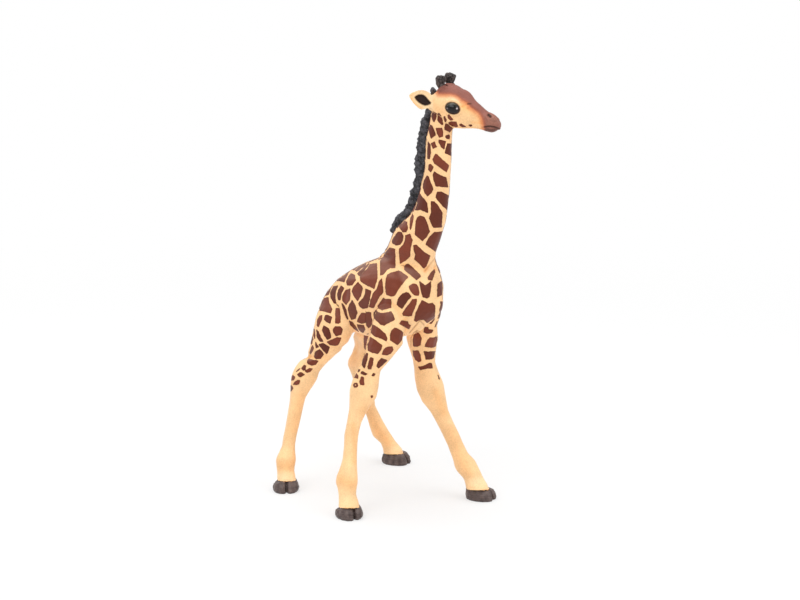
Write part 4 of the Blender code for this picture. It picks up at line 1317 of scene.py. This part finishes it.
def fit_outline(skin, members, left_path=None, right_path=None, deepen=0.0, of_head=False):
    """Widens and shifts a limb so that its outline follows the photograph's; deepen is the share of
    the widening that its depth takes as well."""
    points = near_side(skin.points[members]) if of_head else skin.points[members]
    pixels = photo_pixels(points)
    rows = np.arange(np.floor(pixels[:, 1].min()), pixels[:, 1].max() + 2)
    row = np.round(pixels[:, 1] - rows[0]).astype(int)
    left, right = np.full(len(rows), np.inf), np.full(len(rows), -np.inf)
    np.minimum.at(left, row, pixels[:, 0])
    np.maximum.at(right, row, pixels[:, 0])
    filled = np.isfinite(left)
    left = evened(np.interp(rows, rows[filled], left[filled]))
    right = evened(np.interp(rows, rows[filled], right[filled]))
    move_left = edge_moves(rows, left, left_path)
    move_right = edge_moves(rows, right, right_path)

    depth = -((points - np.array(VIEW_PLACE)) @ np.array(view_back))
    count = np.bincount(row, minlength=len(rows))
    middle = np.bincount(row, depth, len(rows)) / np.maximum(count, 1)
    middle = evened(np.interp(rows, rows[filled], middle[filled]))
    growth = (move_right - move_left) / np.maximum(right - left, 1) * deepen

    def here(values):
        """A row's value at each of the points."""
        return np.interp(pixels[:, 1], rows, values)

    share = np.clip((pixels[:, 0] - here(left)) / (here(right) - here(left)), 0, 1)
    across = here(move_left) * (1 - share) + here(move_right) * share
    moves = np.zeros_like(skin.points)
    moves[members] = (np.outer(across * depth / PIXELS_PER_SLOPE, view_right)
                      - np.outer((depth - here(middle)) * here(growth), view_back))
    if of_head:
        local = moves[members] @ head_rows.T
        local[:, 0] *= np.where(head_local(skin.points[members])[:, 0] > 0, -1, 1)
        moves[members] = local @ head_rows
    skin.points = skin.points + skin.spread(moves, OUTLINE_ROUNDS)


def blend_junctions(skin, owners):
    """Rounds the creases where limbs, neck and torso meet, as one moulding would."""
    first, second = skin.ends[:, 0], skin.ends[:, 1]
    softness = np.where(owned(owners, *EARS), EAR_SOFTNESS, 1.0)
    softness = np.where(owned(owners, "tail"), TAIL_SOFTNESS, softness)
    reach = np.zeros(len(skin.points))
    reach[first[owners[first] != owners[second]]] = 1
    for turn in range(CREASE_STEPS):
        spread = reach.copy()
        np.maximum.at(spread, first, reach[second] * CREASE_FALL)
        reach = spread
    skin.smooth(CREASE_ROUNDS, smooth_step(*CREASE_EDGE, reach) * softness, CREASE_KEEP)


def picture_shifts(pixels, shifts):
    """The moves of points near each of some given places in the picture."""
    moves = np.zeros((len(pixels), 3))
    for middle, reach, (across, down) in shifts:
        share = bell(spot_gap(pixels, middle), reach)
        moves += picture_move(share * across, share * down)
    return moves


def shift_profile(skin, owners):
    """Moves parts of the head's and the ears' outline in the picture, both sides alike."""
    ears = owned(owners, *EARS)
    skull = owned(owners, "head")
    pixels, facing = head_view(skin, skull | ears)
    moves = picture_shifts(pixels, HEAD_SHIFTS) * skull[:, None]
    moves += picture_shifts(pixels, EAR_SHIFTS) * ears[:, None]
    local = moves @ head_rows.T
    local[:, 0] *= np.clip(head_local(skin.points)[:, 0] / MIDLINE_FADE, -1, 1)
    skin.points = skin.points + local @ head_rows


def lower_far_ear(skin, owners):
    """Hangs the left ear lower than the right one: the photograph shows nothing of it over the skull."""
    far_ear = owned(owners, "ear_left")
    outward = head_local(skin.points)[:, 0]
    root, tip = outward[far_ear].min(), outward[far_ear].max()
    lowered = far_ear * np.clip((outward - root) / (tip - root), 0, 1)
    across, down = FAR_EAR_SHIFT
    skin.points = skin.points + picture_move(lowered * across, lowered * down)


def sculpt_head(skin, owners):
    """The head's profile, the feet of the horns, and the fine forms of face, lids and ears."""
    skull = owned(owners, "head")
    ears = owned(owners, *EARS)
    shift_profile(skin, owners)
    local = head_local(skin.points)
    for node in HORNS:
        low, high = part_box(node)
        horn = head_local(np.array([(low + high) / 2]))[0]
        gap = np.hypot(local[:, 0] - horn[0], local[:, 1] - horn[1] + HORN_BASE_FORWARD)
        top = skull * smooth_step(0, HORN_BASE_FADE, local[:, 2])
        lift = HORN_BASE_RISE * bell(gap, HORN_BASE_REACH) * top
        skin.points = skin.points + lift[:, None] * head_rows[2]

    pixels, facing = head_view(skin, skull | ears)
    shown = smooth_step(*FACE_FACING, facing) * (skull | ears)
    height = np.zeros(len(skin.points))
    for rise, near in line_bells(pixels, FACE_LINES):
        height += rise * MM * near * skull
    for middle, radius, rise in FACE_FORMS:
        height += rise * MM * bell(spot_gap(pixels, middle), radius) * skull
    reach = eye_reach(pixels)
    height += skull * LID_HEIGHT * bell(reach - LID_RING[0], LID_RING[1])
    height -= skull * EYE_HOLLOW * smooth_step(*EYE_HOLLOW_EDGE, reach)
    height -= ears * EAR_HOLLOW * smooth_step(*EAR_HOLLOW_EDGE, inside_depth(pixels, INNER_EAR_OUTLINE))
    skin.lift(height * shown)


def leg_angles(skin, on_leg):
    """Turn round the leg's own centre line at each of its points, 0 in front and 180 behind."""
    points = skin.points[on_leg]
    slices = points[:, 2] / LEG_SLICE
    level = np.round(slices).astype(int)
    count = np.bincount(level)
    levels = np.arange(len(count))
    held = count > 0
    arms = []
    for axis in (0, 1):
        centre = np.bincount(level, points[:, axis]) / np.maximum(count, 1)
        centre = evened(np.interp(levels, levels[held], centre[held]))
        arms.append(points[:, axis] - np.interp(slices, levels, centre))
    return np.degrees(np.arctan2(arms[0], -arms[1]))


def sculpt_legs(skin, owners):
    """Muscle, joints and tendons of the legs, and their feet sunk a little into the hooves."""
    height = np.zeros(len(skin.points))
    for name in LEGS:
        on_leg = owned(owners, name)
        angle = leg_angles(skin, on_leg)
        level = skin.points[on_leg, 2] / MM
        forms = FORELEG_FORMS if "front" in name else HINDLEG_FORMS
        for rise, around, spread, high, reach in forms:
            turn = np.abs(np.abs(angle) - around)
            height[on_leg] += rise * MM * np.exp(-(turn / spread) ** 2 - ((level - high) / reach) ** 2)
    skin.lift(skin.spread(height, 2))
    sink = LEG_SINK * smooth_step(*LEG_SINK_LEVELS, skin.points[:, 2])
    skin.points[:, 2] -= sink * owned(owners, *LEGS)


def sculpt_body(skin, owners):
    """Creases and ridges of the body, on torso and neck the same on both sides."""
    body = owned(owners, "torso", "neck", *LEGS)
    upper = owned(owners, "torso", "neck")
    normals = skin.normals()
    sides = []
    for flip in (1, MIRROR):
        points = skin.points * flip
        to_view = np.array(VIEW_PLACE) - points
        facing = (normals * flip * to_view).sum(1) / np.linalg.norm(to_view, axis=1)
        sides.append((line_bells(photo_pixels(points), BODY_LINES), smooth_step(*SCULPT_FACING, facing)))
    (here, shown), (there, shown_there) = sides
    height = np.zeros(len(skin.points))
    for (rise, near), (_, far) in zip(here, there):
        height += rise * MM * np.maximum(near * shown * body, far * shown_there * upper)
    skin.lift(height)


def sculpt(skin, owners):
    """Gives the raw skin the figure's outline and forms."""
    blend_junctions(skin, owners)
    for name, left_path, right_path in LEG_OUTLINES:
        fit_outline(skin, owned(owners, name), left_path, right_path, 1.0)
    fit_outline(skin, owned(owners, "torso", "neck", "leg_hind_right", "leg_front_left"),
                BACK_OUTLINE, CHEST_OUTLINE)
    fit_outline(skin, owned(owners, "neck"), None, THROAT_OUTLINE)
    fit_outline(skin, owned(owners, *EARS), EAR_OUTLINE, of_head=True)
    sculpt_legs(skin, owners)
    sculpt_body(skin, owners)
    sculpt_head(skin, owners)


# Forms of the smaller pieces

def cell_bumps(points, sizes, seed):
    """Rounded lumps side by side: about 0.5 on their tops and -0.4 in the gaps between them."""
    spots = points / np.array(sizes) + seed
    return 0.5 - np.array([noise.voronoi(spot)[0][0] for spot in spots.tolist()])


def lumpy_hair(skin, coarse, fine, amounts, share=1.0):
    """Raises locks and finer knobs of hair, and tells how high each point was raised."""
    lumps = cell_bumps(skin.points, coarse, LOCK_SEEDS[0])
    knobs = cell_bumps(skin.points, fine, LOCK_SEEDS[1])
    skin.lift((lumps * amounts[0] + knobs * amounts[1]) * share)
    skin.smooth(HAIR_ROUNDS, HAIR_SMOOTHING, 0)
    return {"tip": np.clip(0.5 + lumps * LOCK_TIPS[0] + knobs * LOCK_TIPS[1], 0, 1)}


def seat_crest(skin, tree):
    """Sinks a crest's inner side into the hide and keeps its outer side clear of it."""
    found = [tree.find_nearest(point) for point in skin.points.tolist()]
    places = np.array([place for place, normal, index, gap in found])
    outward = np.array([normal for place, normal, index, gap in found])
    height = ((skin.points - places) * outward).sum(1)
    facing = (skin.normals() * outward).sum(1)
    crown = smooth_step(CREST_TOP - CREST_FADE, CREST_TOP, skin.points[:, 2])
    inner = np.maximum(smooth_step(*CREST_INNER, facing), crown)
    sink = inner * np.maximum(height + CREST_ROOT, 0)
    rise = smooth_step(*CREST_OUTER, facing) * (1 - crown) * np.maximum(CREST_LEAST - height, 0)
    skin.points = skin.points + skin.spread(outward * (rise - sink)[:, None], CREST_ROUNDS)


def shape_mane(tree):
    """A crest with the photograph's outline, rooted in the hide all along the neck."""
    def shaped(skin):
        """Fits, seats and tufts the crest."""
        members = np.ones(len(skin.points), bool)
        border = [(across + CREST_OVERLAP, down) for across, down in BACK_OUTLINE[:CREST_BORDER_POINTS]]
        fit_outline(skin, members, MANE_OUTLINE, border, CREST_DEEPEN)
        skin.points = skin.points + picture_shifts(photo_pixels(skin.points), MANE_SHIFTS)
        seat_crest(skin, tree)
        return lumpy_hair(skin, MANE_LOCKS, MANE_KNOBS, MANE_RISES)
    return shaped


def shape_eye(skin):
    """The painted parts of the eye: its brown rim, the paler crescent of painted reflection along its top,
    and its glints, which are painted highlights.
    """
    pixels, facing = head_view(skin, np.ones(len(skin.points), bool))
    glint = np.zeros(len(skin.points))
    for middle, radius, strength in EYE_GLINTS:
        wide, narrow = EYE_GLINT_EDGE
        near = smooth_step(radius * wide, radius * narrow, spot_gap(pixels, middle))
        glint = np.maximum(glint, strength * near)
    return {
        "rim": smooth_step(*EYE_RIM_EDGE, eye_reach(pixels)),
        "reflection_crescent": bell(path_distance(pixels, EYE_REFLECTION_CRESCENT), EYE_REFLECTION_WIDTH),
        "glint": glint * (facing > 0),
    }


def shape_tail_tuft(skin):
    """Long hanging locks."""
    return lumpy_hair(skin, TAIL_LOCKS, TAIL_KNOBS, TAIL_RISES)


def shape_horn(node):
    """A horn with its tuft: an egg of rough hair on a narrower bare stalk."""
    def shaped(skin):
        """Shifts, narrows and tufts the horn."""
        across, down = HORN_SHIFTS[node]
        skin.points = skin.points + picture_move([across], [down])
        sunk = (skin.points[:, 2].max() - skin.points[:, 2]) / HORN_TUFT_HEIGHT
        middle = skin.points[sunk < 1].mean(0)
        narrow = 1 - HORN_NARROWING * smooth_step(*HORN_NARROW_EDGE, sunk)
        skin.points[:, :2] = middle[:2] + (skin.points[:, :2] - middle[:2]) * narrow[:, None]
        forward = (skin.points - middle) @ -head_rows[1] / MM
        bare = smooth_step(*HORN_BARE_EDGE, sunk + HORN_BARE_SLANT * forward)
        share = 1 - HORN_BARE_SMOOTHNESS * bare
        attributes = lumpy_hair(skin, HORN_LOCKS, HORN_KNOBS, HORN_RISES, share)
        attributes["bare"] = bare
        return attributes
    return shaped


def shape_hoof(skin):
    """The photograph's outline, with faint growth rings and an uneven surface."""
    skin.points = skin.points + picture_shifts(photo_pixels(skin.points), HOOF_SHIFTS)
    side = smooth_step(*HOOF_SIDE, np.abs(skin.normals()[:, 2]))
    ring_seed, lump_seed, cloud_seed = HOOF_SEEDS
    waver = blend_noise(skin.points, HOOF_RING_WAVER[0], ring_seed) * HOOF_RING_WAVER[1]
    rings = np.sin(skin.points[:, 2] / HOOF_RING * math.tau + waver)
    lumps = HOOF_LUMPS[1] * blend_noise(skin.points, HOOF_LUMPS[0], lump_seed)
    skin.lift(side * (HOOF_RING_HEIGHT * rings + lumps))
    skin.points[:, 2] = np.maximum(skin.points[:, 2], 0)
    cloud = HOOF_CLOUDS[1] * blend_noise(skin.points, HOOF_CLOUDS[0], cloud_seed)
    return {"ring": np.clip(0.5 + HOOF_RING_TONE * rings * side + cloud, 0, 1)}


# Materials

class Recipe:
    """Adds nodes to a material's or a group's tree with short calls."""

    def __init__(self, tree):
        self.tree = tree

    def add(self, kind, values=None, **settings):
        """A new node; each value is set on its socket, or linked to it where it is a socket itself."""
        node = self.tree.nodes.new(kind)
        for key, value in settings.items():
            setattr(node, key, value)
        for label, value in (values or {}).items():
            if isinstance(value, bpy.types.NodeSocket):
                self.tree.links.new(value, node.inputs[label])
            else:
                node.inputs[label].default_value = value
        return node

    def attribute(self, label):
        """A value painted on the piece."""
        return self.add("ShaderNodeAttribute", attribute_name=label).outputs["Fac"]

    def place(self):
        """Position on the figure in millimetres."""
        coordinates = self.add("ShaderNodeTexCoord").outputs["Object"]
        scaled = self.add("ShaderNodeVectorMath", {0: coordinates, "Scale": 1 / MM}, operation="SCALE")
        return scaled.outputs["Vector"]

    def upward(self, low, high):
        """How far the surface faces up, from 0 to 1."""
        normal = self.add("ShaderNodeNewGeometry").outputs["Normal"]
        parts = self.add("ShaderNodeSeparateXYZ", {"Vector": normal})
        return self.ramp(parts.outputs["Z"], low, high)

    def ramp(self, value, low, high, start=0.0, end=1.0):
        """A soft step from the start to the end, between a low and a high value."""
        return self.add("ShaderNodeMapRange", {
            "Value": value, "From Min": low, "From Max": high, "To Min": start, "To Max": end,
        }, interpolation_type="SMOOTHSTEP").outputs["Result"]

    def mix(self, share, first, second):
        """A share of the second colour over the first."""
        return self.add("ShaderNodeMix", {"Factor": share, "A": first, "B": second},
                        data_type="RGBA").outputs["Result"]

    def sum(self, first, second):
        """Two values added."""
        return self.add("ShaderNodeMath", {0: first, 1: second}, operation="ADD").outputs["Value"]

    def times(self, first, second):
        """Two values multiplied."""
        return self.add("ShaderNodeMath", {0: first, 1: second}, operation="MULTIPLY").outputs["Value"]

    def noise(self, place, size, detail=3.0):
        """Noise with features of about the given size, around 0.5."""
        if not isinstance(size, bpy.types.NodeSocket):
            size = (size, size, size)
        scaled = self.add("ShaderNodeVectorMath", {0: place, 1: size}, operation="DIVIDE")
        return self.add("ShaderNodeTexNoise", {
            "Vector": scaled.outputs["Vector"], "Scale": 1, "Detail": detail,
        }).outputs["Fac"]


def new_group(name, inputs, outputs):
    """An empty shader node group with named sockets, its recipe and its two ends."""
    tree = bpy.data.node_groups.new(name, "ShaderNodeTree")
    for label, (kind, value) in inputs.items():
        tree.interface.new_socket(label, in_out="INPUT", socket_type=kind).default_value = value
    for label, kind in outputs.items():
        tree.interface.new_socket(label, in_out="OUTPUT", socket_type=kind)
    recipe = Recipe(tree)
    return tree, recipe, recipe.add("NodeGroupInput"), recipe.add("NodeGroupOutput")


def brushed_paint_group():
    """Thicker and thinner places of a hand-brushed coat of paint, in clouds and in flecks."""
    tree, recipe, given, result = new_group("brushed_paint", {
        "Place": ("NodeSocketVector", (0, 0, 0)),
        "Colour": ("NodeSocketColor", (1, 1, 1, 1)),
        "Cloud Size": ("NodeSocketFloat", 5.0),
        "Fleck Size": ("NodeSocketFloat", 0.5),
        "Amount": ("NodeSocketFloat", 0.2),
    }, {"Colour": "NodeSocketColor"})
    clouds = recipe.noise(given.outputs["Place"], given.outputs["Cloud Size"])
    flecks = recipe.noise(given.outputs["Place"], given.outputs["Fleck Size"], 2.0)
    clouds = recipe.ramp(clouds, *CLOUD_SPAN, -CLOUD_SWING, CLOUD_SWING)
    flecks = recipe.ramp(flecks, *NOISE_SPAN, -FLECK_SWING, FLECK_SWING)
    both = recipe.sum(clouds, flecks)
    value = recipe.sum(recipe.times(both, given.outputs["Amount"]), 1.0)
    shade = recipe.add("ShaderNodeHueSaturation", {"Value": value, "Color": given.outputs["Colour"]})
    tree.links.new(shade.outputs["Color"], result.inputs["Colour"])
    return tree


def moulded_grain_group():
    """Fine relief of a moulded and painted surface, in millimetres, as a normal."""
    tree, recipe, given, result = new_group("moulded_grain", {
        "Place": ("NodeSocketVector", (0, 0, 0)),
        "Grain Size": ("NodeSocketFloat", 0.4),
        "Grain Height": ("NodeSocketFloat", 0.01),
        "Relief": ("NodeSocketFloat", 0.0),
    }, {"Normal": "NodeSocketVector"})
    grain = recipe.noise(given.outputs["Place"], given.outputs["Grain Size"])
    height = recipe.sum(recipe.times(grain, given.outputs["Grain Height"]), given.outputs["Relief"])
    bump = recipe.add("ShaderNodeBump", {"Height": height, "Distance": MM, "Strength": 1})
    tree.links.new(bump.outputs["Normal"], result.inputs["Normal"])
    return tree


def handled_sheen_group():
    """Roughness that drifts between two levels where paint and handling differ."""
    tree, recipe, given, result = new_group("handled_sheen", {
        "Place": ("NodeSocketVector", (0, 0, 0)),
        "Size": ("NodeSocketFloat", 6.0),
        "Low": ("NodeSocketFloat", 0.35),
        "High": ("NodeSocketFloat", 0.5),
    }, {"Roughness": "NodeSocketFloat"})
    drift = recipe.ramp(recipe.noise(given.outputs["Place"], given.outputs["Size"]), *NOISE_SPAN)
    span = recipe.add("ShaderNodeMapRange", {
        "Value": drift, "To Min": given.outputs["Low"], "To Max": given.outputs["High"],
    })
    tree.links.new(span.outputs["Result"], result.inputs["Roughness"])
    return tree


def new_material(name, gloss):
    """A material with its recipe and its shader, at a plain roughness and specular level."""
    made = bpy.data.materials.new(name)
    made.use_nodes = True
    shader = made.node_tree.nodes["Principled BSDF"]
    roughness, specular = gloss
    shader.inputs["Roughness"].default_value = roughness
    shader.inputs["Specular IOR Level"].default_value = specular
    return made, Recipe(made.node_tree), shader


def finish_surface(recipe, shader, groups, place, colour, surface, relief=0.0):
    """Sends a colour through the three surface effects into the shader."""
    brushed, moulded, handled = groups
    paint, grain, sheen = surface
    painted = recipe.add("ShaderNodeGroup", {
        "Place": place, "Colour": colour, "Cloud Size": paint[0], "Fleck Size": paint[1],
        "Amount": paint[2],
    }, node_tree=brushed)
    bumpy = recipe.add("ShaderNodeGroup", {
        "Place": place, "Grain Size": grain[0], "Grain Height": grain[1], "Relief": relief,
    }, node_tree=moulded)
    glossy = recipe.add("ShaderNodeGroup", {
        "Place": place, "Size": sheen[0], "Low": sheen[1], "High": sheen[2],
    }, node_tree=handled)
    links = recipe.tree.links
    links.new(painted.outputs["Colour"], shader.inputs["Base Color"])
    links.new(bumpy.outputs["Normal"], shader.inputs["Normal"])
    links.new(glossy.outputs["Roughness"], shader.inputs["Roughness"])


def hide_paint(groups):
    """Cream with brown patches, and the face's mask, blush and dark marks over it."""
    made, recipe, shader = new_material("hide_paint", HIDE_GLOSS)
    place = recipe.place()
    waver = recipe.ramp(recipe.noise(place, EDGE_WAVER_SIZE), *NOISE_SPAN, -EDGE_WAVER, EDGE_WAVER)
    edge = recipe.sum(recipe.attribute("coat_depth"), waver)
    patch = recipe.ramp(edge, -EDGE_WAVER, EDGE_WAVER)

    # Paler cream, partly painted highlight
    cream = recipe.mix(recipe.attribute("pale_and_highlight"), CREAM, PALE_CREAM)
    # Peach over the cream: painted shade in hollows and on shaded sides, partly airbrushed peach
    cream = recipe.mix(recipe.times(recipe.attribute("peach_and_shade"), PEACH_AND_SHADE_SHARE), cream, PEACH)
    cream = recipe.mix(recipe.times(recipe.ramp(edge, *BLEED_EDGE), BLEED_SHARE), cream, PEACH)
    brown = recipe.mix(recipe.attribute("coat_tone"), DARK_BROWN, LIGHT_BROWN)
    brown = recipe.mix(recipe.times(recipe.ramp(edge, *RIM_EDGE), RIM_SHARE), brown, RIM_BROWN)
    # Painted sheen: patches lighter and greyer where they face up
    brown = recipe.mix(recipe.times(recipe.upward(*PAINTED_SHEEN_SLOPES), PAINTED_SHEEN_SHARE), brown, PAINTED_SHEEN_BROWN)
    coat = recipe.mix(patch, cream, brown)
    coat = recipe.mix(recipe.times(recipe.attribute("blush"), BLUSH_SHARE), coat, BLUSH)
    # Painted shade along seams and mould lines, in light brown
    coat = recipe.mix(recipe.times(recipe.attribute("seam_shade"), SEAM_SHADE_SHARE), coat, LIGHT_BROWN)
    coat = recipe.mix(recipe.attribute("mask"), coat, MASK_BROWN)
    coat = recipe.mix(recipe.times(recipe.attribute("blush"), MASK_BLUSH_SHARE), coat, BLUSH)
    coat = recipe.mix(recipe.attribute("dark"), coat, UMBER)
    relief = recipe.times(patch, PAINT_HEIGHT)
    finish_surface(recipe, shader, groups, place, coat, HIDE_SURFACE, relief)
    return made


def hair_paint(groups, name, deep, top):
    """Hair: darker between the locks and paler on their tips, which is painted shade and painted highlight,
    with flecks; bare places have the mask's brown.
    """
    made, recipe, shader = new_material(name, HAIR_GLOSS)
    place = recipe.place()
    # Painted shade between the locks and painted highlight on their tips
    colour = recipe.mix(recipe.ramp(recipe.attribute("tip"), *HAIR_TIPS), deep, top)
    spots = recipe.ramp(recipe.noise(place, HAIR_FLECK_SIZE, 2.0), *HAIR_FLECK_EDGE)
    colour = recipe.mix(recipe.times(spots, HAIR_FLECK_SHARE), colour, HAIR_FLECK)
    colour = recipe.mix(recipe.attribute("bare"), colour, MASK_BROWN)
    finish_surface(recipe, shader, groups, place, colour, HAIR_SURFACE)
    return made


def hoof_paint(groups):
    """Grey-brown hoof, darker and lighter along its rings."""
    made, recipe, shader = new_material("hoof_paint", HOOF_GLOSS)
    colour = recipe.mix(recipe.attribute("ring"), HOOF_DARK, HOOF_LIGHT)
    finish_surface(recipe, shader, groups, recipe.place(), colour, HOOF_SURFACE)
    return made


def eye_paint(groups):
    """Glossy black with a brown rim, a grey crescent of painted reflection and two pale glints of painted
    highlight.
    """
    made, recipe, shader = new_material("eye_paint", EYE_GLOSS)
    weight, roughness = EYE_COAT
    shader.inputs["Coat Weight"].default_value = weight
    shader.inputs["Coat Roughness"].default_value = roughness
    place = recipe.place()
    cloud = recipe.ramp(recipe.noise(place, EYE_CLOUD_SIZE), *EYE_CLOUD_EDGE)
    colour = recipe.mix(recipe.times(cloud, EYE_CLOUD_SHARE), EYE_BLACK, EYE_BROWN)
    colour = recipe.mix(recipe.attribute("rim"), colour, EYE_BROWN)
    # Painted reflection: a grey crescent along the eye's top
    reflection_crescent = recipe.times(recipe.attribute("reflection_crescent"), EYE_REFLECTION_SHARE)
    colour = recipe.mix(reflection_crescent, colour, EYE_REFLECTION_GREY)
    # Painted highlights: two pale glints
    colour = recipe.mix(recipe.attribute("glint"), colour, EYE_GLINT_WHITE)
    finish_surface(recipe, shader, groups, place, colour, EYE_SURFACE)
    return made


# Stage

def paper_material():
    """Pale paper that looks white to the camera and still takes a faint shadow."""
    paper, recipe, shader = new_material("floor_paper", PAPER_GLOSS)
    shader.inputs["Base Color"].default_value = PAPER_TONE
    glow = recipe.add("ShaderNodeEmission", {"Strength": PAPER_GLOW})
    path = recipe.add("ShaderNodeLightPath")
    seen = recipe.sum(path.outputs["Is Camera Ray"], path.outputs["Is Glossy Ray"])
    seen = recipe.sum(seen, path.outputs["Is Transmission Ray"])
    place = recipe.add("ShaderNodeTexCoord").outputs["Object"]
    away = recipe.add("ShaderNodeVectorMath", {0: place}, operation="LENGTH").outputs["Value"]
    share = recipe.ramp(away, PAPER_NEAR, PAPER_FAR, PAPER_SHARE, 1.0)
    blend = recipe.add("ShaderNodeMixShader", {
        "Fac": recipe.times(seen, share), 1: shader.outputs["BSDF"], 2: glow.outputs["Emission"],
    })
    recipe.tree.links.new(blend.outputs["Shader"], recipe.tree.nodes["Material Output"].inputs["Surface"])
    return paper


def set_up(name, data):
    """An object on the stage with the given camera, lamp or mesh."""
    thing = bpy.data.objects.new(name, data)
    bpy.context.scene.collection.objects.link(thing)
    return thing


def place_camera():
    """The photograph's own view of the figure."""
    lens = bpy.data.cameras.new("photo_view")
    lens.lens = LENS
    lens.sensor_width = SENSOR
    camera = set_up("photo_view", lens)
    camera.location = VIEW_PLACE
    camera.rotation_euler = view_back.to_track_quat("Z", "Y").to_euler()
    bpy.context.scene.camera = camera


def lay_floor():
    """A wide sheet of paper under the figure."""
    mesh = bpy.data.meshes.new("floor")
    reach = FLOOR_REACH
    corners = [(-reach, -reach, 0), (reach, -reach, 0), (reach, reach, 0), (-reach, reach, 0)]
    mesh.from_pydata(corners, [], [(0, 1, 2, 3)])
    floor = set_up("floor", mesh)
    mesh.materials.append(paper_material())


def light_studio():
    """Soft white light from all round, white to the camera, and three wide lamps."""
    world = bpy.data.worlds.new("studio")
    bpy.context.scene.world = world
    world.use_nodes = True
    sky = Recipe(world.node_tree)
    background = world.node_tree.nodes["Background"]
    background.inputs["Color"].default_value = (1, 1, 1, 1)
    path = sky.add("ShaderNodeLightPath")
    level = sky.add("ShaderNodeMapRange", {
        "Value": path.outputs["Is Camera Ray"], "To Min": SKY_LEVEL, "To Max": 1,
    })
    world.node_tree.links.new(level.outputs["Result"], background.inputs["Strength"])
    for name, azimuth, elevation, strength, size in LAMPS:
        lamp = bpy.data.lights.new(name, "AREA")
        lamp.energy = strength
        lamp.size = size
        turn, rise = math.radians(azimuth), math.radians(elevation)
        way = Vector((math.sin(turn) * math.cos(rise), -math.cos(turn) * math.cos(rise), math.sin(rise)))
        light = set_up(name, lamp)
        light.location = LAMP_TARGET + way * LAMP_DISTANCE
        light.rotation_euler = way.to_track_quat("Z", "Y").to_euler()


def main():
    """The stage first, then the hide and the pieces that stand on it."""
    bpy.context.scene.view_settings.view_transform = "Standard"
    place_camera()
    lay_floor()
    light_studio()
    groups = (brushed_paint_group(), moulded_grain_group(), handled_sheen_group())
    neck_tree = build_hide(hide_paint(groups))
    hair = hair_paint(groups, "mane_hair", HAIR_SHADED, HAIR_LIT)
    tuft = hair_paint(groups, "horn_tuft", TUFT_SHADED, TUFT_LIT)
    hoof = hoof_paint(groups)
    eye = eye_paint(groups)
    remeshed_piece("mane_crest", "mane", MANE_MESH, hair, "dark_hair", shape_mane(neck_tree))
    remeshed_piece("tail_tuft_hair", "tail_tuft", TAIL_TUFT_MESH, hair, "dark_hair", shape_tail_tuft)
    for hand in ("left", "right"):
        node = "ossicone_" + hand
        remeshed_piece("ossicone_tuft_" + hand, node, HORN_MESH, tuft, "dark_hair", shape_horn(node))
        remeshed_piece("eye_glass_" + hand, "eye_" + hand, EYE_MESH, eye, "eye_gloss", shape_eye)
    for leg in LEGS:
        hoof_node = leg.replace("leg", "hoof")
        remeshed_piece(hoof_node + "_horn", hoof_node, HOOF_MESH, hoof, "hoof_paint", shape_hoof)


main()
